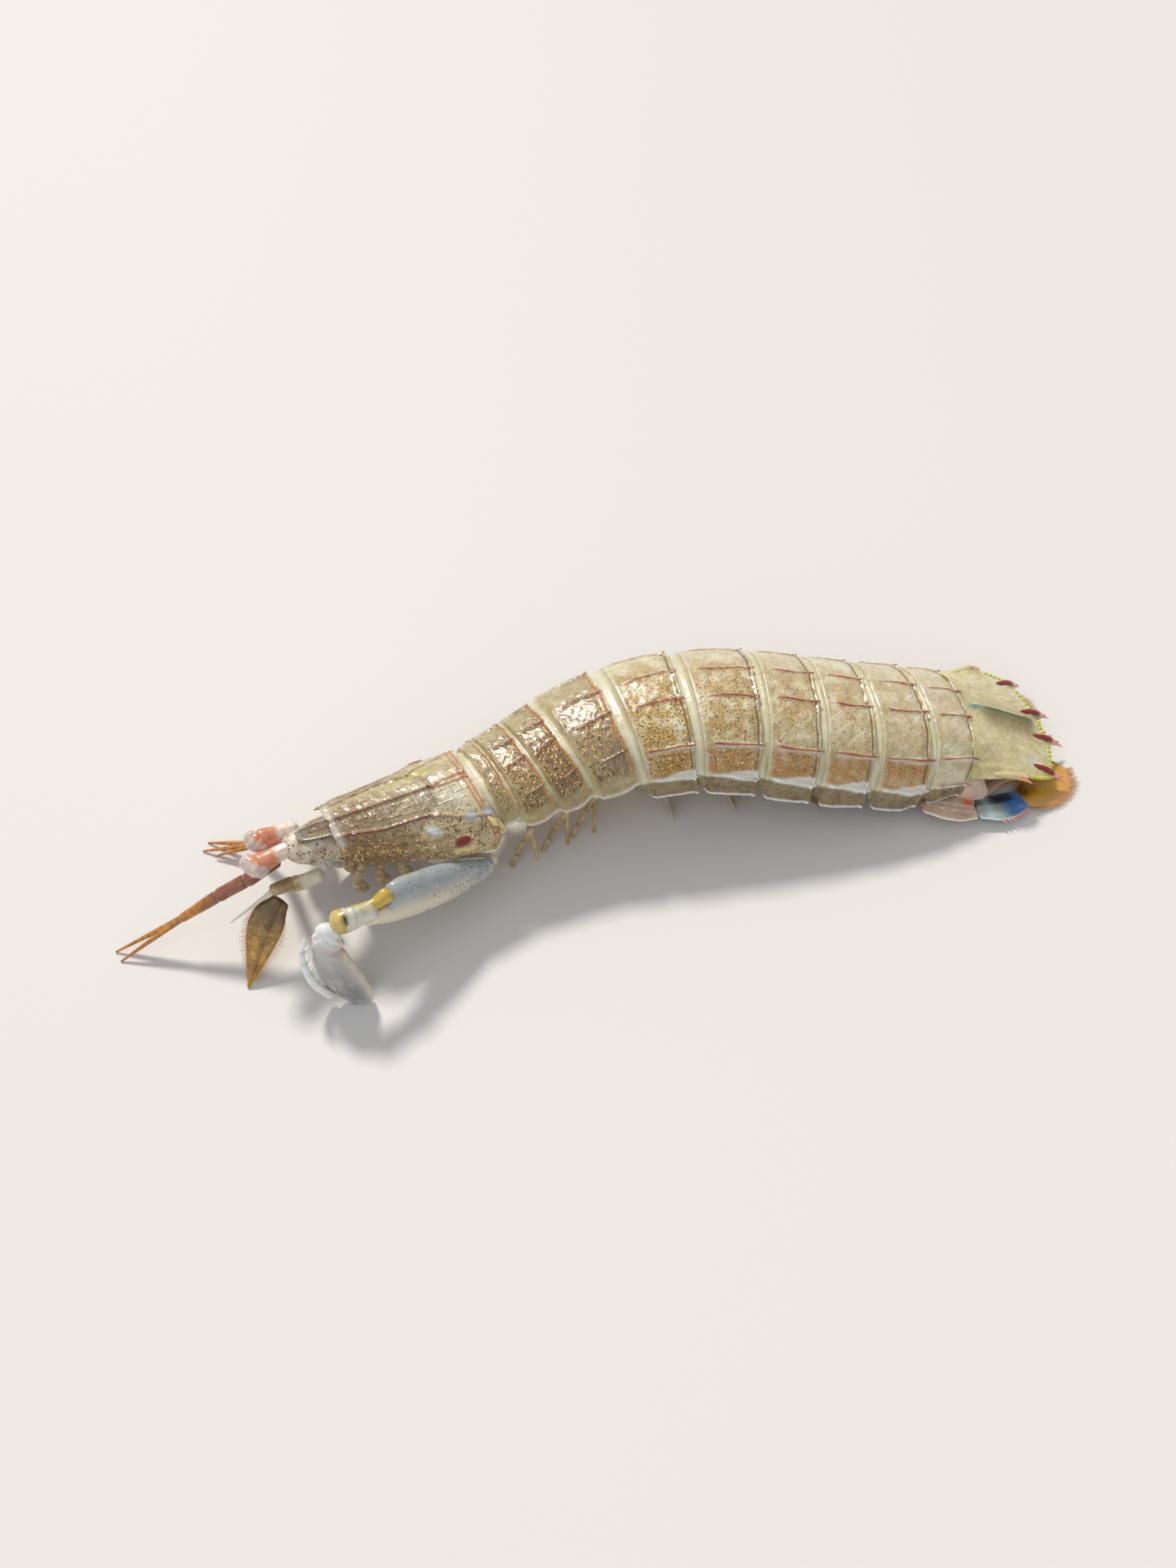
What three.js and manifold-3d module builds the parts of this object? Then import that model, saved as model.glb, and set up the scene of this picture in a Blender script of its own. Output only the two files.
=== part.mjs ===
// Mantis shrimp: a still, life-size model of an adult about 125 mm long.
// Millimetres, +Z up. The head points to -X, the tail to +X and the left side faces -Y.
import * as THREE from 'three';
import { mergeVertices } from 'three/addons/utils/BufferGeometryUtils.js';
import Module from 'manifold-3d';

const wasm = await Module();
wasm.setup();

const { Vector2, Vector3, MathUtils } = THREE;

// Driving sizes
const GAP = 0.3; // clear space between neighbouring pieces
const SHELL = 0.8; // thickness of the carapace
const RIDGE = 0.25; // height of the keels along the back
const CARAPACE_LENGTH = 20.6;
const TELSON_LENGTH = 16.3; // front edge to the notch between the rear teeth
const TELSON_HALF = 11.5; // middle to the tip of a side tooth
const PLATE = 0.7; // thickness of the leaf-like limbs
const ROUNDNESS = 2.3; // exponent of the superellipse across a body ring
const LEFT = 1;
const RIGHT = -1;

// Moves the whole animal so that the middle of its bounding box is over the origin
const CENTRE = new Vector2(4.5, -2);

// The line of the back, from the front edge of the carapace to the tail; roll turns the left side up
const BACK_START = new Vector3(-34.6, -15.3, 18.5);
const BACK_STEP = 0.25;
const BACK_END = 120;
const BENDS = [
  { at: 0, yaw: 29, pitch: -6.5, roll: 0 },
  { at: 20, yaw: 29.5, pitch: -3, roll: 0 },
  { at: 27, yaw: 32, pitch: 6.5, roll: 0 },
  { at: 33, yaw: 31.5, pitch: 12, roll: 0 },
  { at: 39, yaw: 25, pitch: 10.5, roll: 0 },
  { at: 46, yaw: 17, pitch: 5.5, roll: 0 },
  { at: 54, yaw: 10.5, pitch: 0, roll: 0 },
  { at: 62, yaw: 5, pitch: -6, roll: 0 },
  { at: 70, yaw: 3, pitch: -11, roll: 0 },
  { at: 82, yaw: 5, pitch: -13, roll: 0 },
  { at: 95, yaw: 8.5, pitch: -16.5, roll: -2 },
  { at: 101, yaw: 10, pitch: -25, roll: -4 },
];
const TELSON_HEADING = { yaw: 9.5, pitch: -26, roll: -4 };

// Half the width of the body and the depth of its side plates, along the back
const GIRTH = [
  { at: 20, half: 7.1, depth: 6.6 },
  { at: 24, half: 9, depth: 7.4 },
  { at: 33, half: 10.4, depth: 8.6 },
  { at: 43, half: 11.8, depth: 9.3 },
  { at: 54, half: 12.4, depth: 9.9 },
  { at: 66, half: 12.8, depth: 10.7 },
  { at: 76, half: 13, depth: 11.3 },
  { at: 90, half: 13, depth: 11 },
  { at: 99, half: 11.6, depth: 8 },
];

// The rings of the body, with the place on the back where each one begins
const RINGS = [
  { name: 'thorax_5', at: 20.4 },
  { name: 'thorax_6', at: 23.65 },
  { name: 'thorax_7', at: 28.35 },
  { name: 'thorax_8', at: 33.45 },
  { name: 'abdomen_1', at: 42.45 },
  { name: 'abdomen_2', at: 53.55 },
  { name: 'abdomen_3', at: 64.95 },
  { name: 'abdomen_4', at: 74.05 },
  { name: 'abdomen_5', at: 82.35 },
  { name: 'abdomen_6', at: 91.35 },
];
const TELSON_AT = 99.35;
const TUCK = SHELL + GAP; // how far the pieces under the carapace lie below its surface

// Width and side drop of the carapace, and the floor of the trunk under it
const CARAPACE = [
  { at: -1, half: 5.5, drop: 2.7, floor: 6.4 },
  { at: 6, half: 7.1, drop: 3.9, floor: 7.6 },
  { at: 14, half: 9, drop: 5.3, floor: 8.3 },
  { at: 22, half: 9.8, drop: 6.2, floor: 8.4 },
];

const COLOURS = {
  shell: '#a99f80',
  band: '#b9b294',
  belly: '#b0a58c',
  limb: '#a08a5c',
  claw: '#b9bfc4',
  joint: '#c9b45a',
  eye: '#d9792e',
  clear: '#b9aea8',
  feeler: '#8c4a35',
  scale: '#8a6a28',
  tail: '#c2bd8f',
  fan: '#b98a3c',
};

const model = new THREE.Group();

// Value of one column of a table of rows, between the two nearest rows
function interpolate(rows, at, key) {
  const next = rows.findIndex((row) => row.at > at);
  if (next === 0) {
    return rows[0][key];
  }
  if (next < 0) {
    return rows[rows.length - 1][key];
  }
  const before = rows[next - 1];
  const after = rows[next];
  return MathUtils.mapLinear(at, before.at, after.at, before[key], after[key]);
}

// Directions of the tail, the left side and the back's upward normal, for a heading in degrees
function axesOf({ yaw, pitch, roll }) {
  const [turn, rise, lean] = [yaw, pitch, roll].map(MathUtils.degToRad);
  const tail = new Vector3(
    Math.cos(turn) * Math.cos(rise),
    Math.sin(turn) * Math.cos(rise),
    Math.sin(rise),
  );
  const level = new Vector3(Math.sin(turn), -Math.cos(turn), 0);
  const left = level.applyAxisAngle(tail, -lean);
  const up = new Vector3().crossVectors(left, tail);
  return { tail, left, up };
}

function axesAt(at) {
  const [yaw, pitch, roll] = ['yaw', 'pitch', 'roll'].map((key) => interpolate(BENDS, at, key));
  return axesOf({ yaw, pitch, roll });
}

const backLine = [BACK_START.clone()];
for (let at = 0; at < BACK_END; at += BACK_STEP) {
  const { tail } = axesAt(at + BACK_STEP / 2);
  backLine.push(backLine[backLine.length - 1].clone().addScaledVector(tail, BACK_STEP));
}

// Point of the back's line; in front of its start it runs on straight
function backPoint(at) {
  if (at <= 0) {
    return BACK_START.clone().addScaledVector(axesAt(0).tail, at);
  }
  const index = Math.floor(at / BACK_STEP);
  const part = at / BACK_STEP - index;
  return backLine[index].clone().lerp(backLine[index + 1], part);
}

// Point beside the back's line: to the left of it and above it
function body(at, left, up) {
  const axes = axesAt(at);
  return backPoint(at).addScaledVector(axes.left, left).addScaledVector(axes.up, up);
}

// Turns every face outwards
function facingOut(positions, index) {
  const geometry = new THREE.BufferGeometry();
  const corner = (i) => new Vector3().fromArray(positions, index[i] * 3);
  let volume = 0;
  for (let i = 0; i < index.length; i += 3) {
    volume += corner(i).dot(corner(i + 1).cross(corner(i + 2)));
  }
  const faces = volume < 0 ? index.toReversed() : index;
  geometry.setAttribute('position', new THREE.Float32BufferAttribute(positions, 3));
  geometry.setIndex(faces);
  return geometry;
}

// Triangles that close a flat outline, turned the way the outline runs
function capOf(outline) {
  const way = Math.sign(THREE.ShapeUtils.area(outline));
  const faces = THREE.ShapeUtils.triangulateShape(outline, []);
  return faces.map(([a, b, c]) => {
    const ab = outline[b].clone().sub(outline[a]);
    const ac = outline[c].clone().sub(outline[a]);
    return Math.sign(ab.cross(ac)) === way ? [a, b, c] : [a, c, b];
  });
}

// Solid through a row of like outlines; place(point, row, i) sets an outline's point in space
function loft(outlines, place) {
  const size = outlines[0].length;
  const last = outlines.length - 1;
  const positions = [];
  const index = [];
  outlines.forEach((outline, row) => {
    outline.forEach((point, i) => positions.push(...place(point, row, i).toArray()));
  });
  for (let row = 0; row < last; row += 1) {
    for (let i = 0; i < size; i += 1) {
      const a = row * size + i;
      const b = row * size + ((i + 1) % size);
      index.push(a, b, b + size, a, b + size, a + size);
    }
  }
  capOf(outlines[0]).forEach(([a, b, c]) => index.push(a, c, b));
  capOf(outlines[last]).forEach((face) => face.forEach((i) => index.push(last * size + i)));
  return facingOut(positions, index);
}

function ellipse(wide, deep, sides) {
  const outline = [];
  for (let i = 0; i < sides; i += 1) {
    const angle = (2 * Math.PI * (i + 0.5)) / sides;
    outline.push(new Vector2((wide / 2) * Math.cos(angle), (deep / 2) * Math.sin(angle)));
  }
  return outline;
}

// Size at a part of the way along a list of evenly spaced sizes
function sizeAlong(sizes, part) {
  const place = part * (sizes.length - 1);
  const index = Math.min(Math.floor(place), sizes.length - 2);
  return MathUtils.lerp(sizes[index], sizes[index + 1], place - index);
}

// Limb along a smooth line of points; wide lies across the broad face, and the ends are rounded
function limb({ points, wide, deep, across, sides = 6, steps = 5, rounded = true }) {
  const line = new THREE.CatmullRomCurve3(points, false, 'catmullrom', 0.5);
  const rows = [];
  for (let i = 0; i <= steps; i += 1) {
    const part = i / steps;
    rows.push({ part, scale: 1, shift: 0 });
  }
  const round = (part, way) => ({ part, scale: 0.5, shift: (way * sizeAlong(deep, part)) / 3 });
  if (rounded) {
    rows.unshift(round(0, -1));
    rows.push(round(1, 1));
  }
  const outlines = rows.map(({ part, scale }) => (
    ellipse(sizeAlong(wide, part) * scale, sizeAlong(deep, part) * scale, sides)
  ));
  return loft(outlines, (point, row) => {
    const { part, shift } = rows[row];
    const along = line.getTangentAt(part);
    const normal = new Vector3().crossVectors(along, across).normalize();
    const side = new Vector3().crossVectors(normal, along);
    return line.getPointAt(part)
      .addScaledVector(along, shift)
      .addScaledVector(side, point.x)
      .addScaledVector(normal, point.y);
  });
}

// Flat piece inside an outline: its rings shrink from the edge to the middle, above and below
function plate(outline, middle, heightAbove, heightBelow, place) {
  const scales = [1, 0.82, 0.45];
  const size = outline.length;
  const positions = [];
  const index = [];
  const add = (point, height) => positions.push(...place(point, height).toArray()) / 3 - 1;
  const ring = (scale, height) => outline.map((corner) => {
    const point = middle.clone().lerp(corner, scale);
    return add(point, height(point, scale));
  });
  const above = scales.map((scale) => ring(scale, heightAbove));
  const below = scales.map((scale) => ring(scale, heightBelow));
  const top = add(middle, heightAbove(middle, 0));
  const bottom = add(middle, heightBelow(middle, 0));
  const bands = [[above[0], above[1]], [above[1], above[2]]];
  bands.push([below[1], below[0]], [below[2], below[1]], [below[0], above[0]]);
  for (let i = 0; i < size; i += 1) {
    const next = (i + 1) % size;
    bands.forEach(([from, to]) => {
      index.push(from[i], from[next], to[next], from[i], to[next], to[i]);
    });
    index.push(above[2][i], above[2][next], top);
    index.push(below[2][next], below[2][i], bottom);
  }
  return facingOut(positions, index);
}

function toSolid(geometry) {
  const bare = new THREE.BufferGeometry();
  bare.setAttribute('position', geometry.getAttribute('position'));
  bare.setIndex(geometry.getIndex());
  const merged = mergeVertices(bare, 1e-4);
  return new wasm.Manifold(new wasm.Mesh({
    numProp: 3,
    vertProperties: new Float32Array(merged.getAttribute('position').array),
    triVerts: new Uint32Array(merged.getIndex().array),
  }));
}

function toGeometry(solid) {
  const mesh = solid.getMesh();
  const geometry = new THREE.BufferGeometry();
  geometry.setAttribute('position', new THREE.BufferAttribute(mesh.vertProperties, 3));
  geometry.setIndex(new THREE.BufferAttribute(mesh.triVerts, 1));
  return geometry;
}

function joined(...geometries) {
  const solids = geometries.map(toSolid);
  return toGeometry(solids.reduce((whole, solid) => whole.add(solid)));
}

// Cuts a piece flat where it would reach below the floor
function onFloor(geometry) {
  const side = 400;
  const room = new THREE.BoxGeometry(side, side, side);
  room.translate(0, 0, side / 2);
  return toGeometry(toSolid(geometry).intersect(toSolid(room)));
}

function addPart(name, geometry, colour, roughness = 0.4) {
  const faceted = geometry.index ? geometry.toNonIndexed() : geometry;
  faceted.computeVertexNormals();
  const material = new THREE.MeshStandardMaterial({ color: colour, roughness, metalness: 0 });
  const mesh = new THREE.Mesh(faceted, material);
  mesh.name = name;
  mesh.position.set(-CENTRE.x, -CENTRE.y, 0);
  model.add(mesh);
}

function sideName(side) {
  return side === LEFT ? 'left' : 'right';
}

// Places round half a body ring, from the middle of the back (0) to the lower edge (1)
const KEELS = [0.095, 0.48, 0.83];
const PLACES = [0.095, 0.2, 0.34, 0.48, 0.62, 0.74, 0.83, 1];

// Outline of a body ring: an arched back and side plates that hang past a flat belly
function ringOutline(half, depth, ridge, belly) {
  const power = 2 / ROUNDNESS;
  const edge = 1.1;
  const flank = PLACES.map((part) => {
    const angle = (part * Math.PI) / 2;
    const lift = KEELS.includes(part) ? ridge : 0;
    return new Vector2(
      (half + lift) * Math.sin(angle) ** power,
      (depth + lift) * Math.max(Math.cos(angle), 0) ** power - depth,
    );
  });
  const inside = [
    new Vector2(half - edge, 0.15 - depth),
    new Vector2(half * 0.78, -depth * belly),
    new Vector2(half * 0.4, -depth * (belly + 0.04)),
  ];
  const leftHalf = [...flank, ...inside];
  const rightHalf = leftHalf.map((point) => new Vector2(-point.x, point.y)).reverse();
  return [new Vector2(0, 0), ...leftHalf, ...rightHalf];
}

// Body ring between two places on the back: a low front band, then the raised plate
function bodyRing(from, to, sink) {
  const rows = [
    { part: 0, size: 0.955, ridge: 0 },
    { part: 0.2, size: 1, ridge: RIDGE },
    { part: 0.94, size: 1.005, ridge: RIDGE },
    { part: 1, size: 0.985, ridge: 0 },
  ];
  const belly = 0.66;
  const places = rows.map(({ part }) => MathUtils.lerp(from, to, part));
  const halves = places.map((at) => interpolate(GIRTH, at, 'half'));
  const outlines = rows.map(({ size, ridge }, row) => (
    ringOutline(halves[row] * size, interpolate(GIRTH, places[row], 'depth'), ridge, belly)
  ));
  return loft(outlines, (point, row) => {
    const lowered = halves[row] * (rows[row].size - 1) - sink;
    return body(places[row], point.x, point.y + lowered);
  });
}

function addBodyRings() {
  RINGS.forEach(({ name, at }, i) => {
    const end = i + 1 < RINGS.length ? RINGS[i + 1].at : TELSON_AT;
    const sink = name === 'thorax_5' ? TUCK + 2 * RIDGE : 0;
    const geometry = bodyRing(at + GAP / 2, end - GAP / 2, sink);
    addPart(name, geometry, name.startsWith('thorax') ? COLOURS.shell : COLOURS.band);
  });
}

// Shield over the head and front body: an arched shell with keels and a spine at each front corner
function addCarapace() {
  const power = 2.4;
  const keels = [0, 0.3, 0.6, 0.88];
  const parts = [0, 0.15, 0.3, 0.45, 0.6, 0.74, 0.88, 0.96, 1];
  const spine = { part: 0.88, reach: 1.2 };
  const lobe = 1.2;
  const across = [...parts.slice(1).reverse().map((part) => -part), ...parts];
  const frontAt = (part) => (Math.abs(part) === spine.part ? -spine.reach : 0.5 * part ** 4);
  const rearAt = (part) => {
    const corner = Math.max(Math.abs(part) - spine.part, 0) / (1 - spine.part);
    return CARAPACE_LENGTH + lobe * part ** 2 - 1.6 * corner ** 2;
  };
  const corners = [
    ...across.map((part) => ({ part, inset: 0 })),
    ...across.toReversed().map((part) => ({ part, inset: SHELL })),
  ];
  const rows = [0, 0.3, 0.6, 0.85, 1];
  const placeOf = ({ part }, row) => MathUtils.lerp(frontAt(part), rearAt(part), rows[row]);
  const outlines = rows.map((_, row) => corners.map((corner) => {
    const { part, inset } = corner;
    const at = placeOf(corner, row);
    const lift = keels.includes(Math.abs(part)) && inset === 0 ? RIDGE : 0;
    const fall = interpolate(CARAPACE, at, 'drop') * Math.abs(part) ** power;
    const half = interpolate(CARAPACE, at, 'half') - 0.7 * inset;
    return new Vector2(part * half, lift - inset - fall);
  }));
  const geometry = loft(outlines, (point, row, i) => body(placeOf(corners[i], row), point.x, point.y));
  addPart('carapace', geometry, COLOURS.shell);
}

// Trunk under the carapace, narrowed below to a keel that carries the mouth limbs
function addTrunk() {
  const parts = [0, 0.3, 0.6, 0.85, 1];
  const places = [0.2, 5, 10, 15, 19.95];
  const outlines = places.map((at) => {
    const half = interpolate(CARAPACE, at, 'half') - SHELL - GAP - 0.8;
    const drop = interpolate(CARAPACE, at, 'drop');
    const floor = interpolate(CARAPACE, at, 'floor');
    const leftHalf = parts.map((part) => (
      new Vector2(part * half, -TUCK - 0.2 - drop * part ** 2.2)
    ));
    leftHalf.push(new Vector2(half * 0.86, -drop - 2.2), new Vector2(half * 0.4, -floor));
    const rightHalf = leftHalf.slice(1).map((point) => new Vector2(-point.x, point.y));
    return [...leftHalf, ...rightHalf.reverse()];
  });
  addPart('trunk', loft(outlines, (point, row) => body(places[row], point.x, point.y)), COLOURS.belly);
}

// Front of the head under the rostral plate, where eyes and feelers join
function addHead() {
  const rows = [
    { at: -0.15, half: 3, top: -TUCK - 0.3, floor: -6 },
    { at: -3, half: 3, top: -TUCK, floor: -5.6 },
    { at: -5, half: 2.4, top: -TUCK, floor: -4.8 },
    { at: -6, half: 1.6, top: -TUCK - 0.5, floor: -4 },
  ];
  const sides = 12;
  const outlines = rows.map(({ half, top, floor }) => ellipse(half * 2, top - floor, sides));
  const geometry = loft(outlines, (point, row) => {
    const { at, top, floor } = rows[row];
    return body(at, point.x, point.y + (top + floor) / 2);
  });
  addPart('head', geometry, COLOURS.belly);
}

// Small rounded plate in front of the carapace, with a keel along its middle
function addRostralPlate() {
  const length = 4.3;
  const half = 1.9;
  const front = -0.4;
  const outline = [new Vector2(0, -half), new Vector2(0, half)];
  const steps = 8;
  for (let i = 0; i <= steps; i += 1) {
    const angle = (Math.PI * i) / steps;
    outline.push(new Vector2(length * (0.55 + 0.45 * Math.sin(angle)), half * 0.85 * Math.cos(angle)));
  }
  const keel = (point) => RIDGE * (1 - Math.min(Math.abs(point.y), half) / half);
  const geometry = plate(
    outline,
    new Vector2(length / 2, 0),
    (point) => 0.1 + 2 * keel(point) - 0.25 * (point.y / half) ** 2,
    () => -SHELL,
    (point, height) => body(front - point.x, point.y, height),
  );
  addPart('rostral_plate', geometry, COLOURS.shell);
}

const EYES = {
  left: { root: new Vector3(-40.9, -19.3, 16.6), neck: new Vector3(-42.1, -20.2, 16.6) },
  right: { root: new Vector3(-41.1, -16.1, 17), neck: new Vector3(-42.3, -16.8, 17.1) },
};

// Stalked eye: a short stem that widens, and a two-lobed cornea at its end
function addEye(side) {
  const { root, neck } = EYES[sideName(side)];
  const axis = neck.clone().sub(root).normalize();
  const upward = new Vector3(0, 0, 1);
  const stalk = limb({
    points: [root, root.clone().lerp(neck, 0.5), neck],
    wide: [1.3, 1.8, 2.3],
    deep: [1.2, 1.7, 2.2],
    across: upward,
    sides: 8,
    steps: 2,
  });
  const start = neck.clone().addScaledVector(axis, 1.75);
  const cornea = limb({
    points: [start, start.clone().addScaledVector(axis, 0.8), start.clone().addScaledVector(axis, 1.6)],
    wide: [2.5, 3.1, 2.8, 2],
    deep: [2.1, 2.6, 2.4, 1.6],
    across: upward,
    sides: 8,
    steps: 3,
  });
  addPart(`eyestalk_${sideName(side)}`, stalk, COLOURS.clear);
  addPart(`cornea_${sideName(side)}`, cornea, COLOURS.eye, 0.15);
}

const ANTENNULES = {
  left: {
    stem: [
      new Vector3(-42, -18.2, 13.2),
      new Vector3(-45.1, -19.6, 12),
      new Vector3(-50.3, -20.7, 9),
      new Vector3(-55.5, -22.2, 6),
    ],
    tips: [
      new Vector3(-64.9, -25.6, 0.15),
      new Vector3(-66, -24.1, 0.2),
      new Vector3(-63.8, -23.6, 1.2),
    ],
  },
  right: {
    stem: [
      new Vector3(-42.2, -15, 13.3),
      new Vector3(-43.6, -12.2, 10.2),
      new Vector3(-45.4, -9.2, 6.2),
      new Vector3(-48.2, -7.6, 3.4),
    ],
    tips: [
      new Vector3(-57.6, -6.6, 0.2),
      new Vector3(-57.2, -5, 0.15),
      new Vector3(-55.4, -7.8, 0.6),
    ],
  },
};

// First feeler: a three-jointed stem that ends in three whips
function addAntennule(side) {
  const { stem, tips } = ANTENNULES[sideName(side)];
  const across = new Vector3(0, 1, 0);
  const end = stem[stem.length - 1];
  const whips = tips.map((tip) => limb({
    points: [end, end.clone().lerp(tip, 0.5), tip],
    wide: [0.9, 0.7, 0.5],
    deep: [0.9, 0.7, 0.5],
    across,
    sides: 4,
    steps: 3,
  }));
  const peduncle = limb({
    points: stem,
    wide: [1.6, 2.2, 2.1, 1.9, 1.4],
    deep: [1.5, 1.9, 1.8, 1.6, 1.2],
    across,
    sides: 8,
    steps: 5,
  });
  const geometry = onFloor(joined(peduncle, ...whips));
  addPart(`antennule_${sideName(side)}`, geometry, COLOURS.feeler);
}

const ANTENNAE = {
  left: {
    stem: [
      new Vector3(-36.4, -19, 11.3),
      new Vector3(-39.4, -19.9, 10.9),
      new Vector3(-42.3, -20.8, 10.6),
    ],
    whip: [new Vector3(-45.5, -22, 8.4), new Vector3(-48.6, -23.3, 6.4)],
    scale: [
      new Vector3(-41.9, -21.2, 8.4),
      new Vector3(-43.4, -22.9, 7),
      new Vector3(-44.3, -24.6, 5.4),
      new Vector3(-45.2, -27, 3.2),
      new Vector3(-46.4, -29.7, 0.2),
    ],
  },
  right: {
    stem: [
      new Vector3(-38.9, -14.3, 12.1),
      new Vector3(-40.3, -13, 11.2),
      new Vector3(-41.1, -11.4, 10.2),
    ],
    whip: [new Vector3(-42.2, -8.8, 9.2), new Vector3(-43, -6, 7.6)],
    scale: [
      new Vector3(-41.1, -10.9, 8.5),
      new Vector3(-40.8, -9.4, 7),
      new Vector3(-40.4, -7.9, 5.2),
      new Vector3(-40.1, -6.4, 2.8),
      new Vector3(-39.8, -4.8, 0.2),
    ],
  },
};

// Second feeler: a stem with one thin whip, and the broad pointed scale that hangs beside it
function addAntenna(side) {
  const { stem, whip, scale } = ANTENNAE[sideName(side)];
  const across = new Vector3(0, 0, 1);
  const arm = limb({ points: stem, wide: [1.8, 1.9, 1.5], deep: [1.6, 1.7, 1.3], across, steps: 3 });
  const lash = limb({
    points: [stem[stem.length - 1], ...whip],
    wide: [0.7, 0.5],
    deep: [0.7, 0.5],
    across,
    sides: 5,
    steps: 4,
  });
  addPart(`antenna_${sideName(side)}`, joined(arm, lash), COLOURS.limb);
  const flap = limb({
    points: scale,
    wide: [1.2, 2.8, 3.9, 3.7, 2.9, 1.6, 0.5],
    deep: [0.9, PLATE, PLATE, PLATE, PLATE, 0.6, 0.5],
    across: new Vector3(1, 0, 0),
    steps: 7,
  });
  addPart(`antennal_scale_${sideName(side)}`, onFloor(flap), COLOURS.scale);
}

const CLAWS = {
  left: {
    ischium: [
      body(13, 3.4, -10.6),
      body(17.5, 6.4, -10.4),
      new Vector3(-13.6, -13.2, 7),
    ],
    merus: [
      new Vector3(-14.2, -14.1, 6.9),
      new Vector3(-17.7, -17.2, 8.6),
      new Vector3(-22.9, -21.5, 11),
      new Vector3(-26.8, -24.7, 12.4),
      new Vector3(-28.9, -26.3, 12.9),
    ],
    carpus: [
      new Vector3(-30.2, -27.1, 13.6),
      new Vector3(-30.7, -27.4, 13.7),
      new Vector3(-31.2, -27.6, 13.7),
    ],
    propodus: [
      new Vector3(-33.6, -28.8, 13.1),
      new Vector3(-33.8, -29.7, 11),
      new Vector3(-33.3, -30.6, 7.8),
      new Vector3(-32.2, -31.3, 4.6),
      new Vector3(-30.5, -31.8, 0.45),
    ],
    dactylus: [
      new Vector3(-34.6, -31.9, 2.1),
      new Vector3(-36, -31.9, 4.4),
      new Vector3(-36.9, -31.4, 7),
      new Vector3(-37.2, -30.5, 9.6),
      new Vector3(-36.6, -29.5, 11.9),
    ],
    lean: new Vector3(0, 0.5, 0.87),
    broad: new Vector3(-1, 0, 0),
  },
  right: {
    ischium: [body(13, -3, -10.8), body(17, -5, -11), body(20.3, -6.6, -10.9)],
    merus: [
      body(20.6, -7.2, -11),
      body(16, -7.5, -10.5),
      body(10, -7.3, -9.9),
      body(5.4, -6.9, -9.6),
      body(3.2, -6.7, -9.5),
    ],
    carpus: [body(1.4, -6.1, -9.5), body(0.5, -6, -9.7), body(-0.3, -5.7, -10)],
    propodus: [
      body(-0.8, -5, -12.8),
      body(2, -5, -14),
      body(5.4, -5, -15),
      body(8.8, -5.1, -15.6),
      body(12, -5.2, -16.3),
    ],
    dactylus: [
      body(12.6, -6.9, -15.6),
      body(10.4, -7.7, -14.6),
      body(7.5, -7.8, -14.1),
      body(4.8, -7.7, -13.8),
      body(2.6, -7.5, -13.7),
    ],
    lean: new Vector3(0, 0, 1),
    broad: new Vector3(0, 0, 1),
  },
};

// Raptorial claw: arm, elbow, blade and the toothed finger folded along the blade
function addClaw(side) {
  const name = sideName(side);
  const { ischium, merus, carpus, propodus, dactylus, lean, broad } = CLAWS[name];
  const upright = new Vector3(0, 0, 1);
  const upperArm = limb({
    points: merus,
    wide: [2.6, 4.4, 5.6, 6, 6, 5.2, 3.2],
    deep: [2.2, 2.9, 3.2, 3.3, 3.1, 2.7, 2],
    across: lean,
    sides: 8,
    steps: 6,
  });
  const base = limb({
    points: ischium,
    wide: [1.8, 2.2, 2.2],
    deep: [1.8, 2, 2],
    across: upright,
    steps: 3,
  });
  addPart(`claw_merus_${name}`, joined(upperArm, base), COLOURS.claw, 0.3);
  const elbow = limb({
    points: carpus,
    wide: [2.6, 3, 2.5],
    deep: [2, 2.2, 2],
    across: upright,
    sides: 8,
    steps: 2,
  });
  addPart(`claw_carpus_${name}`, elbow, COLOURS.joint, 0.3);
  const blade = limb({
    points: propodus,
    wide: [3.4, 4.3, 4.9, 5.2, 5.1, 4.2, 2.4],
    deep: [2.4, 2.6, 2.4, 2.2, 2, 1.7, 1.1],
    across: broad,
    sides: 8,
    steps: 7,
  });
  addPart(`claw_propodus_${name}`, onFloor(blade), COLOURS.claw, 0.3);
  addPart(`claw_dactylus_${name}`, onFloor(finger(dactylus, broad)), COLOURS.claw, 0.3);
}

// Curved finger with teeth along its inner edge and a sharp tip
function finger(points, broad) {
  const teeth = 4;
  const reach = 0.85;
  const line = new THREE.CatmullRomCurve3(points, false, 'catmullrom', 0.5);
  const blade = limb({
    points,
    wide: [1.5, 1.3, 1.1, 0.9, 0.7, 0.5],
    deep: [1.3, 1.1, 0.9, 0.8, 0.6, 0.5],
    across: broad,
    steps: 6,
  });
  const inward = middleOf(points).sub(line.getPointAt(0.5)).normalize();
  const spines = [];
  for (let i = 1; i <= teeth; i += 1) {
    const root = line.getPointAt(i / (teeth + 1));
    const forward = line.getTangentAt(i / (teeth + 1));
    const tip = root.clone().addScaledVector(inward, reach * 0.7).addScaledVector(forward, reach * 0.7);
    spines.push(limb({
      points: [root, root.clone().lerp(tip, 0.5), tip],
      wide: [0.6, 0.5],
      deep: [0.6, 0.5],
      across: broad,
      sides: 4,
      steps: 1,
      rounded: false,
    }));
  }
  return joined(blade, ...spines);
}

// Middle of the straight line between the two ends of a row of points
function middleOf(points) {
  return points[0].clone().lerp(points[points.length - 1], 0.5);
}

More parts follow.
